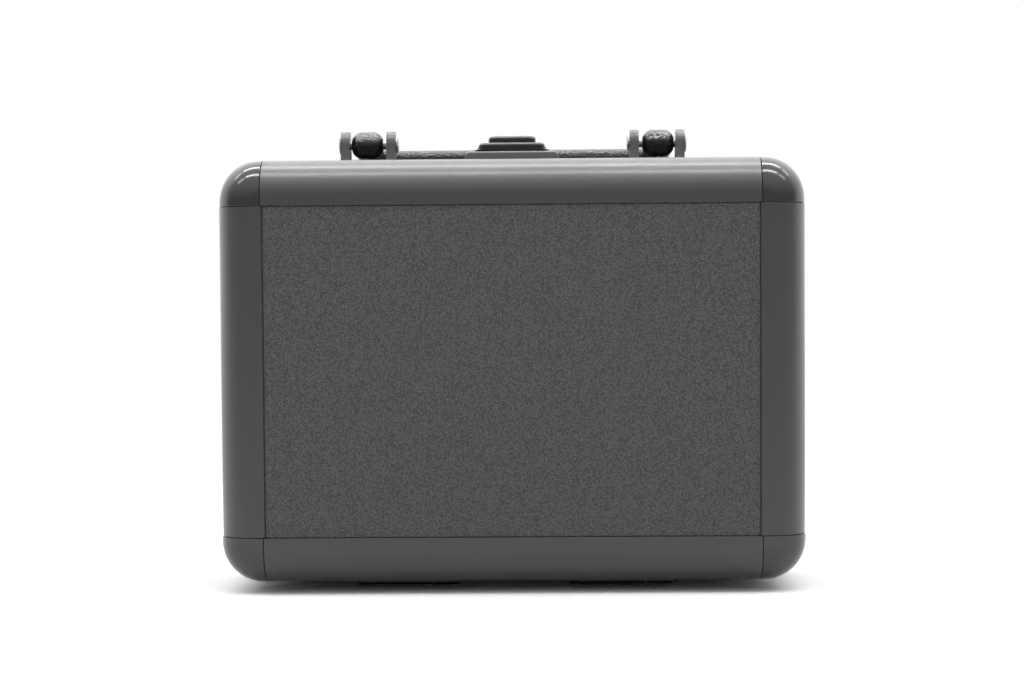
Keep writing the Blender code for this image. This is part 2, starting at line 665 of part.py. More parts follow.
def make_strike(finish, parent):
    """A block on the lid's rim with round shoulders and an undercut at its back for the lock's cam."""
    bottom, top = TOP_Z + SEAT_GAP, TOP_Z + STRIKE_TOP
    back = PARTING_Y - SEAT_GAP
    half = STRIKE_WIDTH / 2
    rounding = STRIKE_CORNER
    outline = [
        (-half, bottom),
        (half, bottom),
        *arc((half - rounding, top - rounding), rounding, 0, 90, SMALL_ARC_STEPS),
        *arc((rounding - half, top - rounding), rounding, 90, 180, SMALL_ARC_STEPS),
    ]
    bm = prism(outline, "Y", back - STRIKE_DEPTH, back)
    mesh = mesh_from("strike", bm, HINGE_AXIS)
    strike = object_from("strike", mesh, finish, HINGE_AXIS, parent=parent)
    edge = strike.modifiers.new("edge", "BEVEL")
    edge.width = STRIKE_EDGE
    edge.segments = 2
    edge.limit_method = "ANGLE"
    edge.angle_limit = math.radians(60)
    slot_half = CAM_REACH + SEAT_GAP
    slot = [
        (-slot_half, TOP_Z + CAM_HEIGHT - SEAT_GAP),
        (slot_half, TOP_Z + CAM_HEIGHT - SEAT_GAP),
        (slot_half, TOP_Z + CAM_HEIGHT + CAM_THICKNESS + SEAT_GAP),
        (-slot_half, TOP_Z + CAM_HEIGHT + CAM_THICKNESS + SEAT_GAP),
    ]
    slot_front = LOCK_AXIS.y - CAM_REACH - 2 * SEAT_GAP
    undercut = prism(slot, "Y", slot_front, back + CUT_OVERRUN)
    combine(strike, "DIFFERENCE", cutter("strike_undercut", undercut, HINGE_AXIS, parent))


def make_latch_base(finishes):
    """A plate on the base's top side with two lugs that hold the hasp's pin, and the pin."""
    bottom = TOP_Z + SEAT_GAP
    plate_top = bottom + LATCH_BASE_PLATE
    lug_top = HASP_AXIS.z + LUG_RADIUS + CUT_OVERRUN
    half = LATCH_BASE_WIDTH / 2
    lug_in = HASP_BARREL_HALF + LATCH_SIDE_GAP
    lug_out = lug_in + LUG_THICKNESS
    front = [(-half, bottom), (half, bottom), (half, plate_top), (lug_out, plate_top), (lug_out, lug_top)]
    front += [(lug_in, lug_top), (lug_in, plate_top), (-lug_in, plate_top), (-lug_in, lug_top)]
    front += [(-lug_out, lug_top), (-lug_out, plate_top), (-half, plate_top)]
    near = PARTING_Y + 2 * SEAT_GAP
    far = near + LATCH_BASE_DEPTH
    middle, radius = HASP_AXIS.y, LUG_RADIUS
    side = [
        (near, bottom - CUT_OVERRUN),
        (far, bottom - CUT_OVERRUN),
        (far, plate_top),
        (middle + radius, plate_top),
        *arc((middle, HASP_AXIS.z), radius, 0, 180, 2 * SMALL_ARC_STEPS),
        (middle - radius, plate_top),
        (near, plate_top),
    ]
    depth_span = (near - CUT_OVERRUN, far + CUT_OVERRUN)
    base = forked("latch_base", front, side, depth_span, (-half, half), finishes["latch"], HASP_AXIS)
    bore_radius = HASP_PIN_RADIUS + RUNNING_GAP
    drill(base, "latch_base_bore", "X", HASP_AXIS, bore_radius, (-half, half), PIN_STEPS)
    end = lug_out + HASP_PIN_OVERHANG
    rod = [(-end, 0), (-end, HASP_PIN_RADIUS), (end, HASP_PIN_RADIUS), (end, 0)]
    pin = mesh_from("hasp_pin", turned(rod, "X", HASP_AXIS, PIN_STEPS), HASP_AXIS)
    object_from("hasp_pin", pin, finishes["pin"], HASP_AXIS)


def stacked(stations, half_width, front, rear, corner):
    """A body through level outlines. Each station is (height, side inset, front inset, rear inset)."""
    loops = []
    for z, side_inset, front_inset, rear_inset in stations:
        near, far = front + front_inset, rear - rear_inset
        middle = (0, (near + far) / 2)
        outline = rounded_box(half_width - side_inset, (far - near) / 2, corner, SMALL_ARC_STEPS, middle)
        loops.append([(x, y, z) for x, y in outline])
    return loft(loops)


def make_hasp(finishes, pivot):
    """A die-cast cover, hollow underneath, that swings on the base and lies over the strike."""
    front = PARTING_Y - HASP_REACH
    rear = HASP_AXIS.y - LUG_RADIUS - HASP_BODY_CLEARANCE
    top, under = TOP_Z + HASP_TOP, TOP_Z + HASP_UNDERSIDE
    skirt_front = PARTING_Y + HASP_SKIRT_GAP
    skirt_bottom = TOP_Z + LATCH_BASE_PLATE + 2 * SEAT_GAP
    half = HASP_WIDTH / 2
    flare = (HASP_FLANGE_WIDTH - HASP_WIDTH) / 2
    flange_top = under + HASP_FLANGE_THICKNESS
    stations = [
        (under, -flare, -HASP_FLANGE_LIP, 0),
        (flange_top, -flare, -HASP_FLANGE_LIP, 0),
        (flange_top + HASP_FLANGE_FLARE, 0, 0, 0),
    ]
    for a, b in arc((0, 0), 1, 0, 90, SMALL_ARC_STEPS):
        height = top - HASP_NOSE_RADIUS * (1 - b)
        side_inset = HASP_SIDE_DRAFT + HASP_SIDE_ROUNDING * (1 - a)
        stations.append((height, side_inset, HASP_NOSE_RADIUS * (1 - a), 0))
    mesh = mesh_from("hasp", stacked(stations, half, front, rear, HASP_CORNER), HASP_AXIS)
    hasp = object_from("hasp", mesh, finishes["hasp"], HASP_AXIS, parent=pivot)

    skirt = [
        (skirt_front, skirt_bottom),
        (rear, skirt_bottom),
        (rear, flange_top),
        (skirt_front, flange_top),
    ]
    combine(hasp, "UNION", cutter("hasp_skirt", prism(skirt, "X", -half, half), HASP_AXIS, pivot))

    tail_half = HASP_BARREL_HALF
    radius = HASP_BARREL_RADIUS
    axis_y, axis_z = HASP_AXIS.y, HASP_AXIS.z
    drop = math.degrees(math.asin((axis_z - under) / radius))
    tail = [
        (rear - HASP_SKIRT, axis_z + radius),
        (rear - HASP_SKIRT, under),
        *arc((axis_y, axis_z), radius, 180 + drop, 450, 3 * SMALL_ARC_STEPS),
    ]
    combine(hasp, "UNION", cutter("hasp_tail", prism(tail, "X", -tail_half, tail_half), HASP_AXIS, pivot))

    room_half = half - HASP_SKIRT
    room_front = skirt_front - SEAT_GAP
    room_rear = rear - HASP_SKIRT / 2
    room = [
        (room_front, skirt_bottom - CUT_OVERRUN),
        (room_rear, skirt_bottom - CUT_OVERRUN),
        (room_rear, under),
        (room_front, under),
    ]
    combine(hasp, "DIFFERENCE", cutter("hasp_room", prism(room, "X", -room_half, room_half), HASP_AXIS, pivot))
    plug_hole = PLUG_RADIUS + RUNNING_GAP
    hole_span = (-CUT_OVERRUN, HASP_PLATE + CUT_OVERRUN)
    drill(hasp, "hasp_lock_hole", "Z", LOCK_AXIS, plug_hole, hole_span, ROUND_STEPS, pivot)
    bore_radius = HASP_PIN_RADIUS + RUNNING_GAP
    drill(hasp, "hasp_bore", "X", HASP_AXIS, bore_radius, (-half, half), PIN_STEPS, pivot)


def make_lock(finishes, hasp_pivot, lock_pivot):
    """The bezel on the hasp, the key plug that turns in it, and the cam that the plug carries."""
    seat = HASP_PLATE + SEAT_GAP
    crest = BEZEL_TOP - HASP_UNDERSIDE
    stations = [(LOCK_AXIS.z + seat, 0, 0, 0)]
    for a, b in arc((0, 0), 1, 0, 90, SMALL_ARC_STEPS):
        height = LOCK_AXIS.z + crest - BEZEL_ROUNDING * (1 - b)
        inset = BEZEL_DRAFT + BEZEL_ROUNDING * (1 - a)
        stations.append((height, BEZEL_DRAFT + BEZEL_SIDE_ROUNDING * (1 - a), inset, inset))
    near, far = LOCK_AXIS.y - BEZEL_LENGTH / 2, LOCK_AXIS.y + BEZEL_LENGTH / 2
    block = stacked(stations, BEZEL_WIDTH / 2, near, far, BEZEL_CORNER)
    bezel = mesh_from("lock_bezel", block, LOCK_AXIS)
    bezel = object_from("lock_bezel", bezel, finishes["hasp"], LOCK_AXIS, parent=hasp_pivot)
    hole_span = (seat - CUT_OVERRUN, crest + CUT_OVERRUN)
    plug_hole = PLUG_RADIUS + RUNNING_GAP
    drill(bezel, "lock_bezel_hole", "Z", LOCK_AXIS, plug_hole, hole_span, ROUND_STEPS, hasp_pivot)

    cam_top = CAM_HEIGHT + CAM_THICKNESS - HASP_UNDERSIDE
    head = crest + PLUG_PROUD
    rod = [(cam_top + SEAT_GAP, 0), (cam_top + SEAT_GAP, PLUG_RADIUS), (head, PLUG_RADIUS), (head, 0)]
    body = mesh_from("lock_plug", turned(rod, "Z", LOCK_AXIS, ROUND_STEPS), LOCK_AXIS)
    plug = object_from("lock_plug", body, finishes["plug"], LOCK_AXIS, parent=lock_pivot)
    x, y, z = LOCK_AXIS
    keyway = rounded_box(KEYWAY_WIDTH / 2, KEYWAY_LENGTH / 2, KEYWAY_WIDTH / 2, SMALL_ARC_STEPS, (x, y))
    slot = prism(keyway, "Z", z + head - KEYWAY_DEPTH, z + head + CUT_OVERRUN)
    combine(plug, "DIFFERENCE", cutter("lock_keyway", slot, LOCK_AXIS, lock_pivot))

    half = CAM_WIDTH / 2
    low = z + CAM_HEIGHT - HASP_UNDERSIDE
    tip = x + CAM_REACH
    blade = [
        *arc((x, y), half, 90, 270, 2 * SMALL_ARC_STEPS),
        (tip - half / 2, y - half),
        (tip, y - half / 2),
        (tip, y + half / 2),
        (tip - half / 2, y + half),
    ]
    cam = mesh_from("lock_cam", prism(blade, "Z", low, low + CAM_THICKNESS), LOCK_AXIS)
    object_from("lock_cam", cam, finishes["pin"], LOCK_AXIS, parent=lock_pivot)


def main():
    clear_scene()
    finishes = {
        "frame": material("satin black frame", (0.040, 0.040, 0.042), 0.42),
        "corner": material("gloss black corner", (0.030, 0.030, 0.032), 0.18),
        "panel": material("pebbled grey panel", (0.082, 0.082, 0.086), 0.55),
        "foam": material("black foam", (0.018, 0.018, 0.020), 0.95),
        "hinge": material("black hinge plate", (0.022, 0.022, 0.023), 0.35),
        "pin": material("steel pin", (0.42, 0.42, 0.43), 0.30, 1.0),
        "foot": material("black rubber", (0.020, 0.020, 0.020), 0.80),
        "bracket": material("matte grey bracket", (0.090, 0.090, 0.092), 0.50),
        "handle": material("pebbled black handle", (0.024, 0.024, 0.025), 0.30),
        "latch": material("matte grey latch plate", (0.095, 0.095, 0.098), 0.45),
        "hasp": material("gloss black hasp", (0.022, 0.022, 0.023), 0.16),
        "plug": material("nickel key plug", (0.50, 0.50, 0.50), 0.25, 1.0),
    }
    lid_pivot = empty_at("lid_pivot", HINGE_AXIS)
    handle_pivot = empty_at("handle_pivot", HANDLE_AXIS)
    hasp_pivot = empty_at("hasp_pivot", HASP_AXIS)
    lock_pivot = empty_at("lock_pivot", LOCK_AXIS, hasp_pivot)

    make_shell("lid", LID_FACE_Y, LID_DEPTH, True, 0, finishes, lid_pivot)
    make_shell("base", BACK_FACE_Y, BASE_DEPTH, False, math.pi, finishes, None)
    lid_mouth = PARTING_Y - FOAM_SETBACK
    base_mouth = PARTING_Y + SEAT_GAP + FOAM_SETBACK
    make_foam("lid_foam", LID_FACE_Y, 1, lid_mouth, LID_BAY_FLOOR_Y, finishes["foam"], lid_pivot)
    make_foam("base_foam", BACK_FACE_Y, -1, base_mouth, BASE_BAY_FLOOR_Y, finishes["foam"], None)
    make_dividers(finishes["foam"])
    make_hinges(finishes, lid_pivot)
    make_feet(finishes["foot"])
    make_bracket("left", -1, finishes)
    make_bracket("right", 1, finishes)
    make_handle(finishes["handle"], handle_pivot)
    make_strike(finishes["latch"], lid_pivot)
    make_latch_base(finishes)
    make_hasp(finishes, hasp_pivot)
    make_lock(finishes, hasp_pivot, lock_pivot)


main()
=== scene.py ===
# %% [markdown]
# # A graded card storage case
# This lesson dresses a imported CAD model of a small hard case, the kind that collectors
# carry graded cards in. Two shells of black extrusion are joined by glossy corner
# mouldings and closed by pebbled panels. A folding handle and a keyed hasp sit on top.
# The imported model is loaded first, and every new piece is fitted to it in metres.

from itertools import product

import bmesh
import bpy
import numpy as np
from mathutils import Matrix, Vector


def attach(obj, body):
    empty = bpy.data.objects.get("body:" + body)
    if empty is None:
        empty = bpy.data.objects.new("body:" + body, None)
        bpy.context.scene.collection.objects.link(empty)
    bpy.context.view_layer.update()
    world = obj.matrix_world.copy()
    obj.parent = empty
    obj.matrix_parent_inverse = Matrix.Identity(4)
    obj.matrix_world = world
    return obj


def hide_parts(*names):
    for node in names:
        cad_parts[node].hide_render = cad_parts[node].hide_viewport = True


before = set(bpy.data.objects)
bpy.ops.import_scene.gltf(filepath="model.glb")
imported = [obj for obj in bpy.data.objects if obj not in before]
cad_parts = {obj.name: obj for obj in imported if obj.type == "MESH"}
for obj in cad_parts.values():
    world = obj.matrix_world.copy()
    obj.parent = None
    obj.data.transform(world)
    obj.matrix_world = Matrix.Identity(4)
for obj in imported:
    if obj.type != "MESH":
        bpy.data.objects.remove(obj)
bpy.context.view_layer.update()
scene = bpy.context.scene
MM = 0.001

# %% [markdown]
# ## Camera
# The photograph is a straight front view from a little over a metre away, taken a bit
# above the middle of the case and tipped down. A camera could be aimed with a tracking
# constraint. Here its three axes are written out from the fitted angles, because a
# matrix also holds the slight roll. The lens shift keeps the case in the frame.

# %% Camera from its fitted place and angles
LENS = 85
SENSOR = 36
SHIFT_UP = 0.1009
CAMERA_PLACE = Vector((0.0248, -1.2143, 0.1331))
PITCH, ROLL, YAW = np.radians((3.0, 0.405, 1.229))


def placed(name, data):
    """An object with that data, linked to the scene."""
    made = bpy.data.objects.new(name, data)
    scene.collection.objects.link(made)
    return made


def camera_axes(pitch, roll, yaw):
    """Right, up and back: level axes turned by yaw, tipped down by pitch, rolled about the view."""
    right = np.array((np.cos(yaw), np.sin(yaw), 0))
    up = np.array((-np.sin(yaw) * np.sin(pitch), np.cos(yaw) * np.sin(pitch), np.cos(pitch)))
    rolled_right = np.cos(roll) * right - np.sin(roll) * up
    rolled_up = np.sin(roll) * right + np.cos(roll) * up
    return np.array((rolled_right, rolled_up, np.cross(rolled_right, rolled_up)))


camera_data = bpy.data.cameras.new("front_camera")
camera_data.lens = LENS
camera_data.sensor_width = SENSOR
camera_data.shift_y = SHIFT_UP
camera = placed("front_camera", camera_data)
axes = camera_axes(PITCH, ROLL, YAW)
camera.matrix_world = Matrix.Translation(CAMERA_PLACE) @ Matrix(axes.T.tolist()).to_4x4()
scene.camera = camera
print("camera", [round(v, 3) for v in CAMERA_PLACE], "looks along", (-axes[2]).round(3))

# %% [markdown]
# ## World and floor
# The background is pure white and the shadow is short. An image of a studio could be
# wrapped round the scene. A world of plain levels is simpler: camera rays see white, and
# the light that falls on the case is a softer grey. Glossy rays see a bright wall behind
# the case, and a glow in front that fades downwards, because a real studio is dark
# behind the photographer.

# %% Small helpers for node trees
def node(tree, kind, inputs=(), **attributes):
    """A shader node, with attributes by name, and a value or a link for each named input."""
    made = tree.nodes.new("ShaderNode" + kind)
    for name, value in attributes.items():
        setattr(made, name, value)
    for socket, value in dict(inputs).items():
        if isinstance(value, bpy.types.NodeSocket):
            tree.links.new(value, made.inputs[socket])
        else:
            made.inputs[socket].default_value = value
    return made


def maths(tree, operation, *values):
    """One sum on up to three numbers or sockets, as a socket."""
    return node(tree, "Math", operation=operation, inputs=dict(enumerate(values))).outputs[0]


def ramp(tree, value, low, high, start=0.0, end=1.0):
    """start below low, end above high, and a smooth step between them."""
    values = {"Value": value, "From Min": low, "From Max": high, "To Min": start, "To Max": end}
    return node(tree, "MapRange", interpolation_type="SMOOTHSTEP", inputs=values).outputs[0]


def object_point(tree):
    """The surface point in metres, as a socket."""
    return node(tree, "TexCoord").outputs["Object"]


print("node helpers:", *(helper.__name__ for helper in (node, maths, ramp, object_point)))

# %% White world that is dark low in front for reflections
AMBIENT = 0.56
BEHIND = (-0.10, 0.35)  # from and to this share of the way back
FRONT_GLOW = (0.05, 0.85, 0.25, 1.5)  # from and to this height, from and to this strength
BACK_WALL = (0.25, 0.75, 1.7, 2.8)


def make_world():
    """Camera rays see 1, glossy rays the front glow or the back wall, and all others AMBIENT."""
    world = bpy.data.worlds.new("studio")
    world.use_nodes = True
    tree = world.node_tree
    tree.nodes.clear()
    direction = node(tree, "TexCoord").outputs["Generated"]
    split = node(tree, "SeparateXYZ", {0: direction}).outputs
    glow = ramp(tree, split["Z"], *FRONT_GLOW)
    wall = ramp(tree, split["Z"], *BACK_WALL)
    behind = ramp(tree, split["Y"], *BEHIND)
    seen = node(tree, "Mix", data_type="FLOAT", inputs={0: behind, 2: glow, 3: wall}).outputs[0]
    ray = node(tree, "LightPath").outputs
    ambient, glossy, white = (
        node(tree, "Background", {"Color": (1, 1, 1, 1), "Strength": level}).outputs[0]
        for level in (AMBIENT, seen, 1.0)
    )
    direct = maths(tree, "MAXIMUM", ray["Is Camera Ray"], ray["Is Transmission Ray"])
    first = node(tree, "MixShader", {0: ray["Is Glossy Ray"], 1: ambient, 2: glossy})
    second = node(tree, "MixShader", {0: direct, 1: first.outputs[0], 2: white})
    node(tree, "OutputWorld", {0: second.outputs[0]})
    return world


scene.world = make_world()
scene.view_settings.view_transform = "Standard"
print("world:", scene.world.name)

# %% Floor that is lit near the case and plain white far away
FLOOR_HALF = 30.0
LIT_RADIUS, WHITE_RADIUS = 0.45, 0.95
FLOOR_GREY, FLOOR_SEEN = 0.90, 1.38


def make_floor():
    """A square at z = 0. Seen directly, it fades from lit near-white to plain white further out."""
    finish = bpy.data.materials.new("studio_floor")
    finish.use_nodes = True
    tree = finish.node_tree
    tree.nodes.clear()
    radius = node(tree, "VectorMath", operation="LENGTH", inputs={0: object_point(tree)})
    far = ramp(tree, radius.outputs["Value"], LIT_RADIUS, WHITE_RADIUS)
    ray = node(tree, "LightPath").outputs
    seen = maths(tree, "MAXIMUM", ray["Is Camera Ray"], ray["Is Glossy Ray"])
    level = maths(tree, "MULTIPLY_ADD", seen, FLOOR_SEEN - FLOOR_GREY, FLOOR_GREY)
    lit = node(tree, "BsdfDiffuse", {"Color": level})
    white = node(tree, "Emission", {"Strength": 1.0})
    share = maths(tree, "MULTIPLY", seen, far)
    mixed = node(tree, "MixShader", {0: share, 1: lit.outputs[0], 2: white.outputs[0]})
    node(tree, "OutputMaterial", {0: mixed.outputs[0]})
    mesh = bpy.data.meshes.new("floor")
    side = FLOOR_HALF
    corners = [(-side, -side, 0), (side, -side, 0), (side, side, 0), (-side, side, 0)]
    mesh.from_pydata(corners, [], [(0, 1, 2, 3)])
    mesh.materials.append(finish)
    floor = placed("floor", mesh)
    return floor


print("floor half side, m:", make_floor().dimensions.x / 2)

# %% [markdown]
# ## Lights
# The corners show two sharp bright lines and the sides show two soft ones: two narrow
# strips of light hang overhead, one in front of the case and one behind it, and each has
# a dimmer strip past either end. Rectangular area lights give that directly. The strips
# are seen in gloss only. The light that the colours need comes from one broad key light,
# which gloss doesn't see.

# %% Area lights over the case
MIDDLE = Vector((0, 0, 0.12))
HANDS = {"left": -1, "right": 1}


def ceiling_box(name, height, first, last, left, right, radiance, glossy=True, diffuse=True):
    """A rectangle of light between two elevations: 0 is in front, 90 overhead and 180 behind.

    It faces down, and its power is four times radiance times area.
    """
    near, far = (-height / np.tan(np.radians(angle)) for angle in (first, last))
    lamp = bpy.data.lights.new(name, "AREA")
    lamp.shape = "RECTANGLE"
    lamp.size, lamp.size_y = right - left, far - near
    lamp.energy = 4 * radiance * (right - left) * (far - near)
    box = placed(name, lamp)
    box.location = MIDDLE + Vector(((left + right) / 2, (near + far) / 2, height))
    box.visible_camera = False
    box.visible_glossy = glossy
    box.visible_diffuse = diffuse
    return box


KEY = dict(height=1.8, first=58, last=115, left=-2.2, right=2.2, radiance=1.15)
STRIP_HEIGHT, STRIP_HALF = 1.5, 0.95
STRIPS = {"front": (74, 78.5, 19.0), "rear": (103, 107.5, 18.0)}
STRIP_END = (1.10, 1.75)
END_FIRST, END_LAST, END_SHARE = -3, -1, 1 / 3

ceiling_box("key_light", **KEY, glossy=False)
for strip, (first, last, radiance) in STRIPS.items():
    span = (-STRIP_HALF, STRIP_HALF)
    ceiling_box(f"{strip}_strip", STRIP_HEIGHT, first, last, *span, radiance, diffuse=False)
    angles = (first + END_FIRST, last + END_LAST)
    for hand, sign in HANDS.items():
        name, span = f"{strip}_strip_{hand}", sorted(sign * x for x in STRIP_END)
        ceiling_box(name, STRIP_HEIGHT, *angles, *span, radiance * END_SHARE, diffuse=False)

# %% [markdown]
# ## Finishes
# Every finish starts from the Principled shader. Flat colour would look like a stand-in,
# so each one gets a fine surface: pebbles on the panels and the handle, a soft satin on
# the extrusions, faint ripples on the mouldings. The patterns read Object coordinates,
# which are metres here, so a grain's size is simply the inverse of its scale.

# %% A Principled finish with grain
finishes = {}


def finish(name, colour, roughness=0.5, metallic=0.0, specular=0.5):
    """A Principled material. A pattern may replace its colour or its roughness later."""
    made = bpy.data.materials.new(name)
    made.use_nodes = True
    shader = made.node_tree.nodes["Principled BSDF"]
    shader.inputs["Base Color"].default_value = (*colour, 1)
    shader.inputs["Roughness"].default_value = roughness
    shader.inputs["Metallic"].default_value = metallic
    shader.inputs["Specular IOR Level"].default_value = specular
    finishes[name] = made
    return made.node_tree, shader


def noise(tree, size, detail=3.0, stretch=None):
    """Noise whose blobs are about size metres across, as a socket around 0.5."""
    place = object_point(tree)
    if stretch:
        place = node(tree, "Mapping", {"Vector": place, "Scale": stretch}).outputs[0]
    made = node(tree, "TexNoise", {"Vector": place, "Scale": 1 / size, "Detail": detail})
    return made.outputs["Fac"]


def pebbles(tree, size, unevenness=0.6):
    """Rounded cells about size metres across, 0 in the valleys and 1 on the crowns."""
    place = object_point(tree)
    wander = node(tree, "TexNoise", {"Vector": place, "Scale": 1 / (2 * size)})
    values = {0: wander.outputs["Color"], "Scale": size * unevenness}
    offset = node(tree, "VectorMath", values, operation="SCALE").outputs[0]
    moved = node(tree, "VectorMath", {0: place, 1: offset}, operation="ADD").outputs[0]
    values = {"Vector": moved, "Scale": 1 / size, "Smoothness": 0.4}
    cells = node(tree, "TexVoronoi", values, feature="SMOOTH_F1")
    return ramp(tree, cells.outputs["Distance"], 0.15, 0.75, 1.0, 0.0)


def bumped(tree, shader, heights):
    """Bump nodes in a row, one for each (height socket, depth in metres)."""
    below = {}
    for height, depth in heights:
        values = {"Height": height, "Distance": depth, "Strength": 1.0, **below}
        below = {"Normal": node(tree, "Bump", values).outputs[0]}
    tree.links.new(below["Normal"], shader.inputs["Normal"])


def tinted(tree, shader, value, dark, light):
    """Base colour from dark to light as value goes from 0 to 1."""
    mixed = node(tree, "Mix", {0: value, 6: (*dark, 1), 7: (*light, 1)}, data_type="RGBA")
    tree.links.new(mixed.outputs[2], shader.inputs["Base Color"])


def roughened(tree, shader, value, low, high):
    """Roughness from low to high as value goes from 0.3 to 0.7."""
    tree.links.new(ramp(tree, value, 0.3, 0.7, low, high), shader.inputs["Roughness"])


def grained(name, colour, rough, bump, metallic=0.0):
    """Noise makes it rough, by (size, low, high), and bumps it, by (size, detail, depth), in mm."""
    tree, shader = finish(name, colour, metallic=metallic)
    roughened(tree, shader, noise(tree, rough[0] * MM), *rough[1:])
    bumped(tree, shader, [(noise(tree, bump[0] * MM, bump[1]), bump[2] * MM)])
    return shader


print("patterns:", noise.__name__, pebbles.__name__)

# %% Finishes of the shells
tree, shader = finish("pebbled_panel", (0.080, 0.080, 0.084), 0.60, specular=0.35)
grain = pebbles(tree, 0.82 * MM, 0.4)
tinted(tree, shader, grain, (0.047, 0.047, 0.050), (0.111, 0.111, 0.116))
bumped(tree, shader, [(grain, 0.08 * MM), (noise(tree, 0.25 * MM), 0.016 * MM)])

satin = grained("satin_extrusion", (0.0240, 0.0231, 0.0242), (30, 0.48, 0.52), (0.35, 3, 0.0015))
satin.inputs["Coat Weight"].default_value = 0.55
satin.inputs["Coat Roughness"].default_value = 0.25
grained("gloss_corner", (0.035, 0.034, 0.034), (14, 0.12, 0.17), (6, 1, 0.03))

tree, shader = finish("closed_cell_foam", (0.020, 0.020, 0.022), 0.95, specular=0.2)
cells = pebbles(tree, 1.3 * MM, 1.2)
tinted(tree, shader, cells, (0.010, 0.010, 0.011), (0.028, 0.028, 0.031))
bumped(tree, shader, [(cells, 0.16 * MM), (noise(tree, 5 * MM), 0.25 * MM)])
print("shell finishes:", sorted(finishes))

# %% Finishes of the hardware
PEBBLED = {
    "pebbled_handle": ((0.016, 0.0155, 0.0145), (0.16, 0.08), 0.12 * MM),
    # The grip's colour is over three times the barrels', though both are one moulding: painted
    # sheen for the light that its upper slope catches.
    "pebbled_grip_painted_sheen": ((0.054, 0.0525, 0.0495), (0.32, 0.18), 0.20 * MM),
}
for name, (colour, roughness, depth) in PEBBLED.items():
    tree, shader = finish(name, colour)
    grain = pebbles(tree, 1.3 * MM, 1.0)
    roughened(tree, shader, grain, *roughness)
    bumped(tree, shader, [(grain, depth)])

tree, shader = finish("matte_bracket", (0.120, 0.120, 0.123), 0.38)
grit = noise(tree, 0.5 * MM)
tinted(tree, shader, ramp(tree, grit, 0.3, 0.7), (0.102, 0.102, 0.104), (0.134, 0.134, 0.137))
bumped(tree, shader, [(grit, 0.02 * MM)])

grained("matte_latch_plate", (0.165, 0.163, 0.163), (0.6, 0.26, 0.34), (0.6, 3, 0.012))
grained("gloss_hasp", (0.0215, 0.0190, 0.0150), (8, 0.11, 0.18), (3, 1, 0.02))
grained("black_hinge_plate", (0.020, 0.020, 0.021), (4, 0.30, 0.44), (0.5, 3, 0.008))
grained("dull_nickel", (0.30, 0.295, 0.285), (1.2, 0.30, 0.42), (0.3, 3, 0.003), 1.0)
grained("black_rubber", (0.022, 0.022, 0.022), (0.7, 0.72, 0.90), (0.7, 3, 0.03))

tree, shader = finish("turned_steel", (0.44, 0.44, 0.45), metallic=1.0)
turning = noise(tree, 0.4 * MM, 2.0, (1, 1, 0.05))
roughened(tree, shader, turning, 0.20, 0.36)
bumped(tree, shader, [(turning, 0.004 * MM)])

tree, shader = finish("black_rivet", (0.020, 0.020, 0.021))
roughened(tree, shader, noise(tree, 2 * MM), 0.26, 0.38)
print("all finishes:", len(finishes))

# %% [markdown]
# ## How a piece is made
# Most pieces here are skins over rings: a closed outline is computed as an array of
# points, copied to several stations, and the rings are joined by four-sided faces. The
# same few lines then make an extrusion, a turned pin or a bent handle. The arrays go
# into the mesh in one call, which is much faster than adding vertices one by one.

# %% Outlines and rings
def arc(centre, radius, start, end, steps):
    """Points centre + radius (cos a, sin a), with a going evenly from start to end, in degrees."""
    a = np.radians(np.linspace(start, end, steps + 1))
    return np.column_stack((centre[0] + radius * np.cos(a), centre[1] + radius * np.sin(a)))


def round_box(half_a, half_b, radius, steps=8, centre=(0, 0)):
    """A rectangle's outline with quarter circles at its corners, anticlockwise."""
    a, b = half_a - radius, half_b - radius
    x, y = centre
    middles = ((x + a, y + b, 0), (x - a, y + b, 90), (x - a, y - b, 180), (x + a, y - b, 270))
    return np.vstack([arc((u, v), radius, start, start + 90, steps) for u, v, start in middles])


def span_box(low, high, radius, steps=8):
    """round_box from its lowest and its highest corner."""
    low, high = np.array(low), np.array(high)
    return round_box(*(high - low) / 2, radius, steps, (low + high) / 2)


def on_axes(outline, across, level):
    """A flat outline in space: its columns are the other two axes, and level is on this one."""
    return np.insert(np.asarray(outline, float), "XYZ".index(across), level, axis=1)


def grid(x, y, z):
    """Rings from coordinates that may change by ring, by point or by both."""
    return np.stack(np.broadcast_arrays(x, y, z), -1)


def around(levels, radii, along, centre, steps):
    """Rings about an axis through centre: levels along it, radii times cos and sin across it."""
    a = np.radians(np.arange(steps) * 360 / steps)
    rings = grid(radii * np.cos(a), radii * np.sin(a), levels)
    return np.insert(rings[:, :, :2], "XYZ".index(along), rings[:, :, 2], axis=2) + centre


def skin(rings, caps=True, closed=False):
    """Point j of ring i joins its neighbour j + 1 and the same two points of ring i + 1."""
    rings = np.asarray(rings, float)
    rows, columns = rings.shape[:2]
    i, j = np.meshgrid(np.arange(rows if closed else rows - 1), np.arange(columns), indexing="ij")
    after, beside = (i + 1) % rows, (j + 1) % columns
    here, there = i * columns, after * columns
    quads = np.stack((here + j, here + beside, there + beside, there + j), -1)
    faces = quads.reshape(-1, 4).tolist()
    if caps and not closed:
        faces += [list(range(columns)), list(range((rows - 1) * columns, rows * columns))]
    return rings.reshape(-1, 3), faces


def prism(outline, across, *levels):
    """The outline carried straight along an axis through the given levels."""
    return skin([on_axes(outline, across, level) for level in levels])


def turned(profile, along, centre, steps=48):
    """Rows of (place along the axis, radius) turned full circle. A hollow form's rows close up."""
    profile = np.asarray(profile, float)
    rings = around(profile[:, :1], profile[:, 1:], along, centre, steps)
    return skin(rings, caps=False, closed=profile[0, 1] > 0)


def bar(radius, start, end, along, centre, steps=32):
    """A round bar with flat ends, from start to end on an axis through centre."""
    return turned([(start, 0), (start, radius), (end, radius), (end, 0)], along, centre, steps)


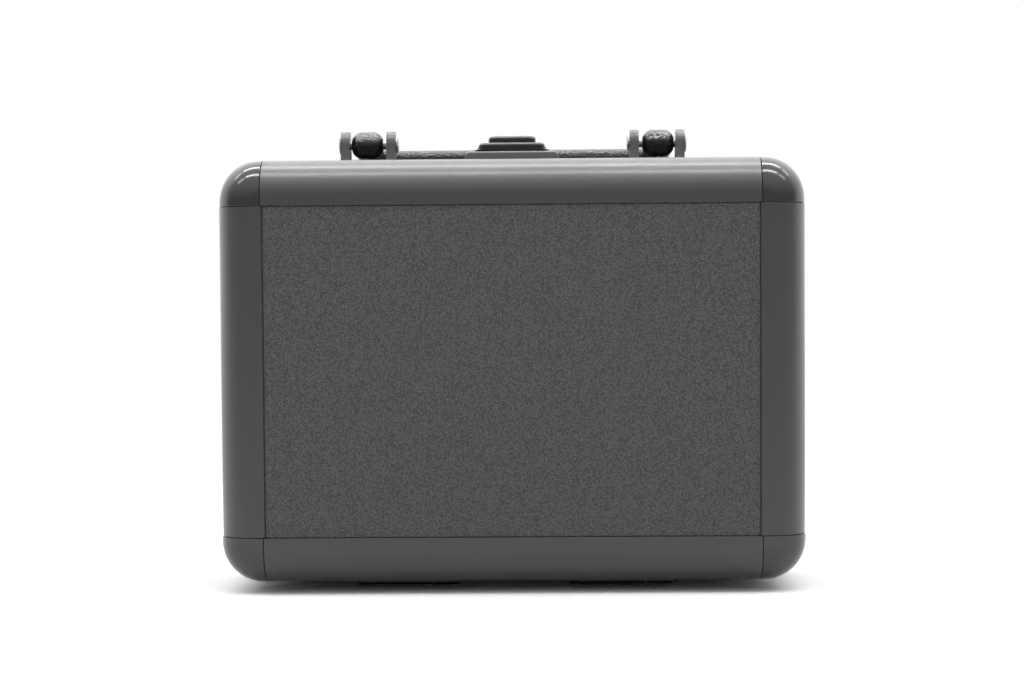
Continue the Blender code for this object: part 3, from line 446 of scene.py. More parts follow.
def turned_about_x(points, pivot, angle):
    """Points turned about a line along X through pivot: y and z mix by cos and sin of the angle."""
    p = np.asarray(points, float) - pivot
    c, s = np.cos(angle), np.sin(angle)
    turn = np.array(((1, 0, 0), (0, c, -s), (0, s, c)))
    return p @ turn.T + pivot


print("points in a round box:", len(round_box(1, 1, 0.1)))

# %% From arrays to a finished piece
MERGE = 0.002 * MM


def mesh_of(name, parts):
    """One mesh from (points, faces) parts, with doubles merged and normals turned outwards."""
    points = np.vstack([p for p, _ in parts])
    faces, base = [], 0
    for p, f in parts:
        faces += [[base + i for i in face] for face in f]
        base += len(p)
    mesh = bpy.data.meshes.new(name)
    mesh.from_pydata(points.tolist(), [], faces)
    bm = bmesh.new()
    bm.from_mesh(mesh)
    bmesh.ops.remove_doubles(bm, verts=bm.verts, dist=MERGE)
    bmesh.ops.dissolve_degenerate(bm, edges=bm.edges, dist=MERGE)
    bmesh.ops.recalc_face_normals(bm, faces=bm.faces)
    bm.to_mesh(mesh)
    bm.free()
    return mesh


def carved(name, body, adds=(), cuts=()):
    """The body's mesh, with closed forms joined to it and cut from it by Booleans."""
    work = placed(name, mesh_of(name, [body]))
    helpers = []
    for operation, forms in (("UNION", adds), ("DIFFERENCE", cuts)):
        for form in forms:
            helper = placed(name + "_tool", mesh_of(name + "_tool", [form]))
            helpers.append(helper)
            step = work.modifiers.new(operation, "BOOLEAN")
            step.operation = operation
            step.object = helper
    bpy.context.view_layer.update()
    evaluated = work.evaluated_get(bpy.context.evaluated_depsgraph_get())
    mesh = bpy.data.meshes.new_from_object(evaluated)
    mesh.name = name
    for thing in (work, *helpers):
        bpy.data.objects.remove(thing)
    return mesh


def piece(name, body, mesh, look, nodes=(), bevel=0.0, segments=2, limit=32):
    """An object from a mesh or parts that rides on a body, stands for nodes and may be bevelled."""
    if isinstance(mesh, list):
        mesh = mesh_of(name, mesh)
    mesh.shade_smooth()
    mesh.materials.clear()
    mesh.materials.append(finishes[look])
    made = placed(name, mesh)
    if bevel:
        edge = made.modifiers.new("edge", "BEVEL")
        edge.width = bevel
        edge.segments = segments
        edge.limit_method = "ANGLE"
        edge.angle_limit = np.radians(limit)
        edge.harden_normals = True
    else:
        mesh.set_sharp_from_angle(angle=np.radians(limit))
    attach(made, body)
    if nodes:
        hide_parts(*nodes)
    return made


print("points merge within, mm:", MERGE / MM)

# %% [markdown]
# ## The frame of each shell
# On the real case one aluminium section runs round both shells. Its nose is a quarter
# round, its slot grips the panel's edge, and its rim has a tongue on the lid and a groove
# on the base. The section is drawn once, as (inset from the outer wall, depth from the
# face), and carried along all eight sides.

# %% Sizes of the shells, in metres
WIDTH, HEIGHT, DEPTH, LID_DEPTH = 0.284, 0.205, 0.112, 0.050
STAND, GAP = 0.0052, 0.0003
FRAME, NOSE, CORNER = 0.0225, 0.0190, 0.0205
SKIN, LIP, FIN, CORNER_WALL = 0.0018, 0.0012, 0.0012, 0.0024
RIM_WIDTH, RIM_HEIGHT = 0.0062, 0.0070
TONGUE_INSET, TONGUE_WIDTH, TONGUE_HEIGHT, TONGUE_ROOM = 0.0022, 0.0018, 0.0020, 0.0006
PANEL, TUCK = 0.0032, 0.0040
MIDDLE_Z = STAND + HEIGHT / 2
TOP_Z = STAND + HEIGHT
FACE_X, FACE_Z = WIDTH / 2 - FRAME, HEIGHT / 2 - FRAME
PARTING_Y = LID_DEPTH - DEPTH / 2
SLOT_BACK = LIP + PANEL + 2 * GAP
FIN_BACK = SLOT_BACK + FIN
SLOT_FLOOR = FRAME - TUCK - GAP
SHELLS = {
    "lid": dict(face=-DEPTH / 2, inward=1, depth=LID_DEPTH, tongued=True),
    "base": dict(face=DEPTH / 2, inward=-1, depth=DEPTH - LID_DEPTH - GAP, tongued=False),
}
print("face panel opening, mm:", round(2 * FACE_X / MM, 1), "x", round(2 * FACE_Z / MM, 1))

# %% The section as an array of points
NOSE_STEPS = 24


def outside(depth, tongued):
    """From the face round the nose, down the wall, and across the rim to its inner foot."""
    room, rise = (0, TONGUE_HEIGHT) if tongued else (TONGUE_ROOM, -TONGUE_HEIGHT)
    near, far, level = TONGUE_INSET - room, TONGUE_INSET + TONGUE_WIDTH + room, depth + rise
    nose = arc((NOSE, NOSE), NOSE, 270, 180, NOSE_STEPS)
    rim = [(0, depth), (near, depth), (near, level), (far, level), (far, depth)]
    foot = [(RIM_WIDTH, depth), (RIM_WIDTH, depth - RIM_HEIGHT)]
    return np.vstack(([(FRAME, 0)], nose, rim, foot))


def side_section(depth, tongued):
    """The outside, then the thin wall back to the slot that holds the panel."""
    web = SLOT_FLOOR - SKIN
    stop = 180 + np.degrees(np.arccos((NOSE - web) / (NOSE - SKIN)))
    inside = arc((NOSE, NOSE), NOSE - SKIN, 180, stop, 10)
    slot = [(web, FIN_BACK), (FRAME, FIN_BACK), (FRAME, SLOT_BACK), (SLOT_FLOOR, SLOT_BACK)]
    lip = [(SLOT_FLOOR, LIP), (FRAME, LIP)]
    return np.vstack((outside(depth, tongued), [(SKIN, depth - RIM_HEIGHT)], inside, slot, lip))


def corner_section(depth, tongued):
    """The outside, then a plain thicker wall that ends at the panel's corner."""
    inside = arc((NOSE, NOSE), NOSE - CORNER_WALL, 180, 270, 10)
    wall = [(CORNER_WALL, depth - RIM_HEIGHT)]
    return np.vstack((outside(depth, tongued), wall, inside, [(FRAME, CORNER_WALL)]))


print("points in a side's section:", len(side_section(LID_DEPTH, True)))

# %% Sides: the section carried straight
SIDES = {"top": (0, 1), "bottom": (0, -1), "left": (-1, 0), "right": (1, 0)}
SEAM_OUT, SOFT_EDGE = 0.0009, 0.00022


def side_part(shell, side):
    """The inset w is taken off the outer wall, and the depth v goes inwards from the face."""
    w, v = side_section(shell["depth"], shell["tongued"]).T
    x_side, z_side = SIDES[side]
    half = (FACE_X + SEAM_OUT if z_side else FACE_Z) - GAP
    ends = np.array([[-half], [half]])
    x = ends if z_side else x_side * (WIDTH / 2 - w)
    z = MIDDLE_Z + (z_side * (HEIGHT / 2 - w) if z_side else ends)
    return skin(grid(x, shell["face"] + shell["inward"] * v, z))


for shell_name, shell in SHELLS.items():
    for side in SIDES:
        name, old = (f"{shell_name}_{kind}_{side}" for kind in ("side", "frame"))
        part = side_part(shell, side)
        piece(name, shell_name, [part], "satin_extrusion", [old], SOFT_EDGE, 3)
print("sides made:", 2 * len(SIDES))

# %% [markdown]
# ## Corner mouldings
# The corners are glossy mouldings that continue the section round the outline. A plain
# spin would do if the corner were a quarter circle about the panel's corner. It is a
# little tighter than that, so the section fans out from the panel's corner and is
# stretched to reach a rounded outline. The upright seams lie a little outside the
# panel's edge, and the bottom mouldings stand half a millimetre proud of the left and
# right sides.

# %% Corners: the section fanned out
LEVELS = {"top": 1, "bottom": -1}
PROUD = 0.0005


def corner_part(shell, x_side, z_side):
    """Each ring is an outline point times (1 - w / FRAME), stretched to stand proud below."""
    w, v = corner_section(shell["depth"], shell["tongued"]).T
    middle = FRAME - CORNER
    outline = np.vstack(([(FRAME, 0)], arc((middle, middle), CORNER, 0, 90, 28), [(0, FRAME)]))
    reach = FRAME - SEAM_OUT + (PROUD if z_side < 0 else 0)
    outline = outline * (reach / FRAME, 1)
    share = 1 - w / FRAME
    x = x_side * (FACE_X + SEAM_OUT + outline[:, :1] * share)
    z = MIDDLE_Z + z_side * (FACE_Z + outline[:, 1:] * share)
    return skin(grid(x, shell["face"] + shell["inward"] * v, z))


for shell_name, shell in SHELLS.items():
    for (level, z_side), (hand, x_side) in product(LEVELS.items(), HANDS.items()):
        name, old = (f"{shell_name}_{kind}_{level}_{hand}" for kind in ("moulding", "corner"))
        part = corner_part(shell, x_side, z_side)
        piece(name, shell_name, [part], "gloss_corner", [old], SOFT_EDGE, 3)
print("mouldings made:", 2 * len(LEVELS) * len(HANDS))

# %% [markdown]
# ## Face panels
# A pebbled sheet closes each shell. Its four edges slip into the frame's slots, so its
# corners are notched to clear the mouldings. Its front is raised inside a narrow groove,
# which draws the dark line round it. The pebbles are too small for geometry and come
# from the finish.

# %% Panels
GROOVE, GROOVE_FLOOR, PANEL_FRONT = 0.00061, LIP + GAP, 0.0008


def quadrants(points):
    """Three points of the first quadrant, mirrored into the other three and kept anticlockwise."""
    parts = [
        (np.array(points) * (a, b))[:: a * b] for a, b in ((1, 1), (-1, 1), (-1, -1), (1, -1))
    ]
    return np.vstack(parts) + (0, MIDDLE_Z)


def panel_part(shell):
    """A notched outline at the back and the groove's floor, a rectangle there and at the front."""
    x, z, e = FACE_X - 2 * GAP, FACE_Z - 2 * GAP, MM
    notched = quadrants(((FACE_X + TUCK, z), (x, z), (x, FACE_Z + TUCK)))
    x, z = FACE_X - GROOVE, FACE_Z - GROOVE
    raised = quadrants(((x, z - e), (x, z), (x - e, z)))
    rings = (notched, notched, raised, raised)
    depths = (GROOVE_FLOOR + PANEL, GROOVE_FLOOR, GROOVE_FLOOR, PANEL_FRONT)
    levels = [shell["face"] + shell["inward"] * depth for depth in depths]
    return skin([on_axes(ring, "Y", level) for ring, level in zip(rings, levels)])


for shell_name, shell in SHELLS.items():
    name, old = (f"{shell_name}_{kind}_panel" for kind in ("pebbled", "face"))
    part = panel_part(shell)
    piece(name, shell_name, [part], "pebbled_panel", [old], bevel=0.12 * MM)
print("panels made: 2")

# %% [markdown]
# ## Foam inserts
# The cards stand in a bay cut from soft closed-cell foam. Foam has no crisp edges, so the
# mouth of the bay and the outer edge are rounded over. The insert is one skin that goes
# up the outside, over the mouth and down to the bay's floor.

# %% Foam with a bay, as one skin over rings
BAY_X, BAY_Z, BAY_CORNER = 0.118, 0.070, 0.004
FOAM_EDGE = RIM_WIDTH + GAP
FOAM_CHAMFER, MOUTH_ROUND, SETBACK = 0.003, 0.0016, 0.0005
FLOORS = {"lid": 0.0055, "base": 0.0080}


def foam_part(shell, floor):
    """Rings of (depth, half width, half height, corner radius), from the nose to the floor."""
    face, inward, depth = shell["face"], shell["inward"], shell["depth"]
    start = FIN_BACK + GAP
    mouth = depth - SETBACK
    outer = np.array((WIDTH / 2 - FOAM_EDGE, HEIGHT / 2 - FOAM_EDGE, CORNER - FOAM_EDGE))
    inner = np.array((BAY_X, BAY_Z, BAY_CORNER))
    rows = [(start, *(outer - FOAM_CHAMFER)), (start + FOAM_CHAMFER, *outer)]
    for out, up in arc((0, 0), MOUTH_ROUND, 0, 90, 5):
        rows.append((mouth - MOUTH_ROUND + up, *(outer - MOUTH_ROUND + out)))
    for out, up in arc((0, 0), MOUTH_ROUND, 90, 0, 5):
        rows.append((mouth - MOUTH_ROUND + up, *(inner + MOUTH_ROUND - out)))
    rows.append((start + floor + BAY_CORNER / 4, *inner))
    rows.append((start + floor, *(inner - BAY_CORNER / 4)))
    return skin([
        on_axes(round_box(a, b, r, 8, (0, MIDDLE_Z)), "Y", face + inward * d) for d, a, b, r in rows
    ])


for shell_name, shell in SHELLS.items():
    part = foam_part(shell, FLOORS[shell_name])
    old = f"{shell_name}_foam"
    insert = piece(old + "_insert", shell_name, [part], "closed_cell_foam", [old], limit=50)
print("foam inserts made: 2")

# %% Dividers that stand across the bay
DIVIDER, DIVIDER_SETBACK, DIVIDER_CORNER = 0.006, 0.004, 0.006
BASE_FLOOR_Y = DEPTH / 2 - FIN_BACK - GAP - FLOORS["base"]


def divider_part(x):
    """The plate's outline in Y and Z, with two round corners, carried through its thickness."""
    front, back = PARTING_Y + GAP + DIVIDER_SETBACK, BASE_FLOOR_Y - GAP
    low, high = MIDDLE_Z - BAY_Z + GAP, MIDDLE_Z + BAY_Z - GAP
    r = DIVIDER_CORNER
    top = arc((front + r, high - r), r, 90, 180, 10)
    bottom = arc((front + r, low + r), r, 180, 270, 10)
    outline = np.vstack(([(back, low), (back, high)], top, bottom))
    return prism(outline, "X", x - DIVIDER / 2, x + DIVIDER / 2)


pitch = (2 * BAY_X + DIVIDER) / 3
for number in (1, 2):
    x = -BAY_X + pitch * number - DIVIDER / 2
    name, old = (f"foam_{kind}_{number}" for kind in ("partition", "divider"))
    part = divider_part(x)
    plate = piece(name, "base", [part], "closed_cell_foam", [old], 0.9 * MM, 3)
print("partitions at x, mm:", round(x / MM, 1), round(-x / MM, 1))

# %% [markdown]
# ## Screws and rivets
# Small fasteners sell the scale of a case. A rivet is a low dome turned from an arc. A
# screw head is a disc on a polar grid: its height is a shallow crown less a cross-shaped
# pocket, so the recess is real geometry.

# %% Rivet and screw heads, with shares of the radius and the height
CROWN_FALL, CROSS_DEPTH, MIDDLE_RING = 0.35, 0.75, 0.04
CROSS_HALF, CROSS_EASE, ARM_END, ARM_EASE = 0.17, 0.06, 0.66, 0.12


def rivet(centre, along, sign, radius, height):
    """A dome: radius shrinks as the cosine and height grows as the sine of the angle."""
    a = np.radians(np.linspace(0, 90, 8))
    profile = [(0, 0), *zip(sign * height * np.sin(a), radius * np.cos(a))]
    return turned(profile, along, centre, 24)


def screw_head(centre, along, sign, radius, height):
    """Height times (1 - CROWN_FALL r squared - CROSS_DEPTH in the cross), and 0 at the foot."""
    r = np.append(np.linspace(MIDDLE_RING, 1, 15), 1)[:, None]
    a = np.radians(np.arange(48) * 7.5)
    arm = r * np.minimum(np.abs(np.cos(a)), np.abs(np.sin(a)))
    cross = np.clip((CROSS_HALF - arm) / CROSS_EASE, 0, 1) * np.clip((ARM_END - r) / ARM_EASE, 0, 1)
    level = height * (1 - CROWN_FALL * r**2 - CROSS_DEPTH * cross)
    level[-1] = 0
    return skin(around(sign * level, radius * r, along, centre, len(a)))


print("faces in a screw head:", len(screw_head((0, 0, 0), "Z", 1, 1, 1)[1]))

# %% [markdown]
# ## Hinges
# Each hinge has a base leaf with a long knuckle and a lid leaf with a short one, and a
# pin through both. They are alike and not mirrored. The leaf is a flat plate and the
# knuckle a turned rod, joined by a Boolean, then bored for the pin.

# %% A hinge leaf with its knuckle
HINGE_X, LONG, SHORT, KNUCKLE_GAP = 0.0531, 0.0372, 0.0128, 0.0010
LEAF_REACH, LEAF, LEAF_CORNER, PIN = 0.0190, 0.0018, 0.0030, 0.0012
KNUCKLE = (STAND - GAP) / 2
HINGE_AXIS = np.array((0, PARTING_Y, KNUCKLE))
HINGE_WIDTH = LONG + KNUCKLE_GAP + SHORT


def leaf_mesh(name, start, own, side):
    """A plate set back from the pin but for its own knuckle's span, which reaches the pin line."""
    end = start + HINGE_WIDTH
    far = PARTING_Y + side * LEAF_REACH
    clear = PARTING_Y + side * (KNUCKLE + GAP)
    r = LEAF_CORNER
    right = arc((end - r, far - side * r), r, 0, side * 90, 8)
    left = arc((start + r, far - side * r), r, side * 90, side * 180, 8)
    if own[0] == start:
        edge, first, second = own[1], PARTING_Y, clear
    else:
        edge, first, second = own[0], clear, PARTING_Y
    near = [(start, first), (edge, first), (edge, second), (end, second)]
    top = STAND - GAP
    plate = prism(np.vstack((near, right, left)), "Z", top - LEAF, top)
    knuckle = bar(KNUCKLE, *own, "X", HINGE_AXIS, 48)
    bore = bar(PIN + GAP, start - MM, end + MM, "X", HINGE_AXIS)
    return carved(name, plate, [knuckle], [bore])


print("hinge width, mm:", round(HINGE_WIDTH / MM, 1))

# %% Both hinges with their screws and pins
SCREW, SCREW_RISE, SCREW_LINE, SCREW_INSET = 0.0030, 0.0009, 0.0118, 0.0070
PIN_DOME, PIN_NECK = 0.0006, 0.8 * PIN

for hand, sign in HANDS.items():
    start = sign * HINGE_X - HINGE_WIDTH / 2
    end = start + HINGE_WIDTH
    spans = {"base": ((start, start + LONG), 1), "lid": ((end - SHORT, end), -1)}
    for body, (own, side) in spans.items():
        name = f"hinge_{hand}_{body}_plate"
        mesh = leaf_mesh(name, start, own, side)
        old = f"hinge_{hand}_{body}_leaf"
        piece(name, body, mesh, "black_hinge_plate", [old], bevel=0.18 * MM)
        y, z = PARTING_Y + side * SCREW_LINE, STAND - GAP - LEAF
        places = np.linspace(start + SCREW_INSET, end - SCREW_INSET, 3)
        heads = [screw_head((x, y, z), "Z", -1, SCREW, SCREW_RISE) for x in places]
        piece(f"hinge_{hand}_{body}_screws", body, heads, "black_rivet")
    left_end = [(start - PIN_DOME, 0), (start - PIN_DOME / 2, PIN_NECK), (start, PIN)]
    right_end = [(end, PIN), (end + PIN_DOME / 2, PIN_NECK), (end + PIN_DOME, 0)]
    pin = turned(left_end + right_end, "X", HINGE_AXIS, 32)
    old = f"hinge_{hand}_pin"
    piece(f"hinge_{hand}_rod", "base", [pin], "turned_steel", [old])
print("hinges at x, mm:", -HINGE_X / MM, HINGE_X / MM)

# %% [markdown]
# ## Feet
# Four rubber feet keep the case level on its hinge side. Each is turned, with a rounded
# sole and a pocket for its screw.

# %% Rubber feet
FOOT, FOOT_TIP, SOLE_ROUND = 0.0065, 0.0057, 0.0010
POCKET, POCKET_DEPTH, FOOT_SCREW = 0.0030, 0.0016, 0.0024
FOOT_X = 0.1080
FOOT_PLACES = {"front": 0.0160, "rear": 0.0320}

ease = SOLE_ROUND / 4
pocket = [(POCKET_DEPTH, 0), (POCKET_DEPTH, POCKET - ease), (ease, POCKET), (0, POCKET + ease)]
sole = arc((SOLE_ROUND, FOOT_TIP - SOLE_ROUND), SOLE_ROUND, 180, 90, 6)
profile = np.vstack((pocket, sole, [(STAND - GAP, FOOT), (STAND - GAP, 0)]))
for (row, y), (hand, sign) in product(FOOT_PLACES.items(), HANDS.items()):
    x, old = sign * FOOT_X, f"foot_{row}_{hand}"
    foot = turned(profile, "Z", (x, y, 0))
    piece("rubber_" + old, "base", [foot], "black_rubber", [old])
    head = screw_head((x, y, POCKET_DEPTH), "Z", -1, FOOT_SCREW, SCREW_RISE)
    piece(f"foot_screw_{row}_{hand}", "base", [head], "turned_steel")
print("feet made:", 2 * len(FOOT_PLACES))

# %% [markdown]
# ## Handle
# The handle is one glossy pebbled moulding: a grip, two bends and two arms that end in
# barrels. It is swept along a flat path with a rounded rectangular section, and then
# folded back about its pins until the grip lies on the base.

# %% Handle swept along its path
HANDLE_X, HANDLE_REACH, BEND = 0.07285, 0.0350, 0.0125
GRIP_WIDTH, GRIP_THICK, GRIP_ROUND, SWELL = 0.0140, 0.0087, 0.0042, 0.0008
BARREL, BARREL_R, BARREL_BORE, END_LENGTH, ROUNDNESS = 0.0157, 0.0068, 0.0025, 0.0041, 1.55
PIVOT_BACK, PIVOT_HEIGHT = 0.0120, 0.0101
PIVOT = np.array((0, PARTING_Y + PIVOT_BACK, TOP_Z + PIVOT_HEIGHT))
FOLD = -np.arcsin((PIVOT_HEIGHT - GRIP_THICK / 2 - GAP) / HANDLE_REACH)


def handle_part():
    """Rings stand square to the path: an arm, a quarter-circle bend, the grip, and back again."""
    corner = (HANDLE_X - BEND, HANDLE_REACH - BEND)
    arm = np.column_stack((np.full(6, HANDLE_X), np.linspace(0, corner[1], 7)[:-1]))
    bend = arc(corner, BEND, 0, 90, 20)
    grip = np.column_stack((np.linspace(corner[0], 0, 17)[1:], np.full(16, HANDLE_REACH)))
    half = np.vstack((arm, bend, grip))
    angle = np.concatenate((np.zeros(6), np.linspace(0, 90, 21), np.full(16, 90)))
    path = np.vstack((half, (half * (-1, 1))[-2::-1]))
    angle = np.radians(np.concatenate((angle, 180 - angle[-2::-1])))[:, None]
    wave = np.cos(np.pi / 2 * path[:, 0] / HANDLE_X)
    swell = np.where(path[:, 1] == HANDLE_REACH, 1 + SWELL / GRIP_WIDTH * wave, 1)
    section = round_box(GRIP_WIDTH / 2, GRIP_THICK / 2, GRIP_ROUND, 8)
    across = section[:, 0] * swell[:, None]
    x = path[:, :1] + across * np.cos(angle)
    y = path[:, 1:] + across * np.sin(angle)
    points, faces = skin(grid(x, y, section[:, 1]))
    return turned_about_x(points + PIVOT, PIVOT, FOLD), faces


def barrel_part(x):
    """Rings along X of superellipse points: signed cos and sin to the power 2 / ROUNDNESS."""
    turn = np.radians(np.linspace(0, 90, 11))
    bulge = 2 / ROUNDNESS
    place = BARREL / 2 - END_LENGTH * (1 - np.cos(turn) ** bulge)
    swell = np.sin(turn) ** bulge
    place, swell = np.append(place, -place[::-1]), np.append(swell, swell[::-1])
    a = np.radians(np.arange(72) * 5)
    circle = np.array((np.cos(a), np.sin(a)))[:, None]
    full = BARREL_R * np.sign(circle) * np.abs(circle) ** bulge
    hole = BARREL_BORE * circle
    y, z = hole + (full - hole) * swell[:, None]
    points, faces = skin(grid(place[:, None], y, z), caps=False, closed=True)
    return turned_about_x(points + PIVOT + (x, 0, 0), PIVOT, FOLD), faces


# The grip and arms take the lighter finish, which is painted sheen.
piece("grip_and_arms", "handle", [handle_part()], "pebbled_grip_painted_sheen", ["handle"])
for hand, sign in HANDS.items():
    name, part = f"handle_barrel_{hand}", barrel_part(sign * HANDLE_X)
    piece(name, "handle", [part], "pebbled_handle", limit=50)
print("handle reach, mm:", HANDLE_REACH / MM, "fold, degrees:", round(float(np.degrees(-FOLD)), 2))

# %% [markdown]
# ## Handle brackets
# A bracket is a matte plastic fork: a riveted foot and two ears that hold the handle's
# pin. The foot and the ears are prisms joined by Booleans, and a bevel softens every
# edge as a mould would.

# %% Sizes of the brackets, and the ear's outline
EAR, EAR_R, OUTER_GAP, INNER_GAP = 0.0044, 0.0067, 0.00085, 0.00185
FOOT_DEPTH, FOOT_PLATE, FOOT_FLARE, FOOT_ROUND = 0.0200, 0.0020, 0.0010, 0.0004
HANDLE_PIN, OUTER_HEAD, OUTER_DOME = 0.0022, 0.0047, 0.0011
INNER_HEAD, INNER_CROWN = 0.0043, 0.0014
RIVET, RIVET_RISE, RIVET_Y = 0.0017, 0.0007, 0.0078
CUT_REACH = 0.03
SEAT_Z = TOP_Z + GAP


def ear_outline():
    """An ear from the side: a round head about the pin, on a straight neck with a short fillet."""
    y, z = PIVOT[1], PIVOT[2]
    foot_top = SEAT_Z + FOOT_PLATE
    r = FOOT_FLARE
    head = arc((y, z), EAR_R, 0, 180, 32)
    left = arc((y - EAR_R - r, foot_top + r), r, 0, -90, 2)
    right = arc((y + EAR_R + r, foot_top + r), r, 270, 180, 2)
    return np.vstack(([(y - EAR_R - r, SEAT_Z), (y + EAR_R + r, SEAT_Z)], right, head, left))


print("points in an ear's outline:", len(ear_outline()))

# %% Brackets, their pins and rivets
for hand, sign in HANDS.items():
    centre = PIVOT + (sign * HANDLE_X, 0, 0)
    inner = sign * (HANDLE_X - BARREL / 2 - INNER_GAP - EAR)
    outer = sign * (HANDLE_X + BARREL / 2 + OUTER_GAP + EAR)
    spans = ((inner, inner + sign * EAR), (outer, outer - sign * EAR))
    ears = [prism(ear_outline(), "X", *sorted(span)) for span in spans]
    middle = ((inner + outer) / 2, PIVOT[1])
    outline = round_box(abs(outer - inner) / 2, FOOT_DEPTH / 2, FOOT_ROUND, 4, middle)
    foot = prism(outline, "Z", SEAT_Z, SEAT_Z + FOOT_PLATE)
    bore = bar(HANDLE_PIN + GAP, -CUT_REACH, CUT_REACH, "X", centre)
    name = f"bracket_{hand}"
    mesh, old = carved(name, foot, ears, [bore]), "handle_" + name
    piece(name, "base", mesh, "matte_bracket", [old], 0.45 * MM, 3, 40)
    near, far = abs(inner) - GAP, abs(outer) + GAP
    dome = arc((0, 0), 1, 0, 90, 8)
    head = np.column_stack((near - dome[:, 1] * INNER_CROWN, dome[:, 0] * INNER_HEAD))[::-1]
    shank = [(near, HANDLE_PIN), (far, HANDLE_PIN)]
    tail = np.column_stack((far + dome[:, 1] * OUTER_DOME, dome[:, 0] * OUTER_HEAD))
    profile = np.vstack((head, shank, tail)) * (sign, 1)
    pin = turned(profile, "X", PIVOT, 40)
    old = f"handle_pin_{hand}"
    piece(f"pivot_pin_{hand}", "base", [pin], "dull_nickel", [old])
    places = [centre * (1, 1, 0) + (0, y, SEAT_Z + FOOT_PLATE) for y in (-RIVET_Y, RIVET_Y)]
    rivets = [rivet(place, "Z", 1, RIVET, RIVET_RISE) for place in places]
    piece(f"bracket_rivets_{hand}", "base", rivets, "black_rivet")
print("bracket width, mm:", round(abs(outer - inner) / MM, 1))

# %% [markdown]
# ## Strike
# The strike is a matte block on the lid's rim that the hasp closes over. Its back is
# undercut so that the lock's cam can turn under a ledge. The block is a prism with
# rounded shoulders and a rounded front edge, and the slot is cut from it.

# %% Strike on the lid
LOCK_BACK, LOCK_HEIGHT = 0.0070, 0.0055
LOCK = np.array((0, PARTING_Y + LOCK_BACK, TOP_Z + LOCK_HEIGHT))
STRIKE_X, STRIKE_DEPTH, STRIKE_TOP = 0.02315, 0.0137, 0.0050
STRIKE_EDGE, SHOULDER = 0.0012, 0.0028
CAM_Z, CAM, CAM_REACH, CAM_WIDTH, SLOT_ROUND = 0.0026, 0.0012, 0.0105, 0.0060, 0.0002
back = PARTING_Y - GAP
top = TOP_Z + STRIKE_TOP


def strike_block():
    """The front outline, drawn in by EDGE (1 - sin a) at depth EDGE (1 - cos a), taken back."""
    rings = []
    for a, b in arc((0, 0), 1, 0, 90, 8)[::-1]:
        inset = STRIKE_EDGE * (1 - b)
        x, z, r = STRIKE_X - inset, top - inset, SHOULDER - inset
        right, left = arc((x - r, z - r), r, 0, 90, 10), arc((r - x, z - r), r, 90, 180, 10)
        outline = np.vstack(([(-x, SEAT_Z), (x, SEAT_Z)], right, left))
        rings.append(on_axes(outline, "Y", back - STRIKE_DEPTH + STRIKE_EDGE * (1 - a)))
    rings = rings[::-1]
    rings.append(rings[-1] + (0, STRIKE_DEPTH - STRIKE_EDGE, 0))
    return skin(rings)


slot_z = TOP_Z + CAM_Z + CAM / 2
outline = round_box(CAM_REACH + GAP, CAM / 2 + GAP, SLOT_ROUND, 3, (0, slot_z))
cam_room = prism(outline, "Y", LOCK[1] - CAM_REACH - 2 * GAP, back + 2 * MM)
mesh = carved("strike_block", strike_block(), cuts=[cam_room])
piece("strike_block", "lid", mesh, "matte_latch_plate", ["strike"])
print("strike width, mm:", 2 * STRIKE_X / MM)

# %% [markdown]
# ## Latch base and hasp
# The latch base is a riveted plate with two lugs. The hasp swings on a pin between them:
# a glossy die-cast cover with rounded sides, a thin flange that shows as a step, a hollow
# underside and a tail round the pin. Its cover is a stack of outlines that shrink towards
# both ends, which rounds the side edges.

# %% Latch base and the hasp's pin
HASP_BACK, HASP_AXIS_Z, HASP_PIN, PIN_PROUD = 0.0250, 0.0060, 0.0014, 0.0002
HASP_AXIS = np.array((0, PARTING_Y + HASP_BACK, TOP_Z + HASP_AXIS_Z))
PLATE_X, PLATE_DEPTH, PLATE, PLATE_ROUND = 0.0200, 0.0300, 0.0020, 0.0012
LUG, LUG_R, TAIL_X, LATCH_GAP = 0.0026, 0.0034, 0.0135, 0.0005
PLATE_RIVET, PLATE_RIVET_X, PLATE_RIVET_INSET = 0.0016, 0.0105, 0.0030


def hasp_bar(radius, half):
    """A bar about the hasp's axis, as long to the left as to the right."""
    return bar(radius, -half, half, "X", HASP_AXIS, 40)


near = PARTING_Y + 2 * GAP
far = near + PLATE_DEPTH
plate_top, lug_foot = SEAT_Z + PLATE, SEAT_Z + PLATE / 2
plate = prism(span_box((-PLATE_X, near), (PLATE_X, far), PLATE_ROUND, 6), "Z", SEAT_Z, plate_top)
lug_head = arc(HASP_AXIS[1:], LUG_R, 0, 180, 24)
outline = np.vstack(([(lug_head[0, 0], lug_foot)], lug_head, [(lug_head[-1, 0], lug_foot)]))
lug_in = TAIL_X + LATCH_GAP
lug_out = lug_in + LUG
lugs = [prism(outline, "X", *span) for span in ((-lug_out, -lug_in), (lug_in, lug_out))]
mesh = carved("latch_plate", plate, lugs, [hasp_bar(HASP_PIN + GAP, CUT_REACH)])
look, slot, old = "matte_latch_plate", "latch_plate", "latch_base"
piece("latch_plate", "base", mesh, look, [old], bevel=0.3 * MM, limit=40)
rod = hasp_bar(HASP_PIN, lug_out + PIN_PROUD)
piece("hasp_rod", "base", [rod], "turned_steel", ["hasp_pin"], bevel=0.2 * MM)
places = [(x, far - PLATE_RIVET_INSET, plate_top) for x in (-PLATE_RIVET_X, 0, PLATE_RIVET_X)]
rivets = [rivet(place, "Z", 1, PLATE_RIVET, RIVET_RISE) for place in places]
piece("latch_rivets", "base", rivets, "black_rivet")
print("latch plate, mm:", round(2 * PLATE_X / MM, 1), "x", round(PLATE_DEPTH / MM, 1))

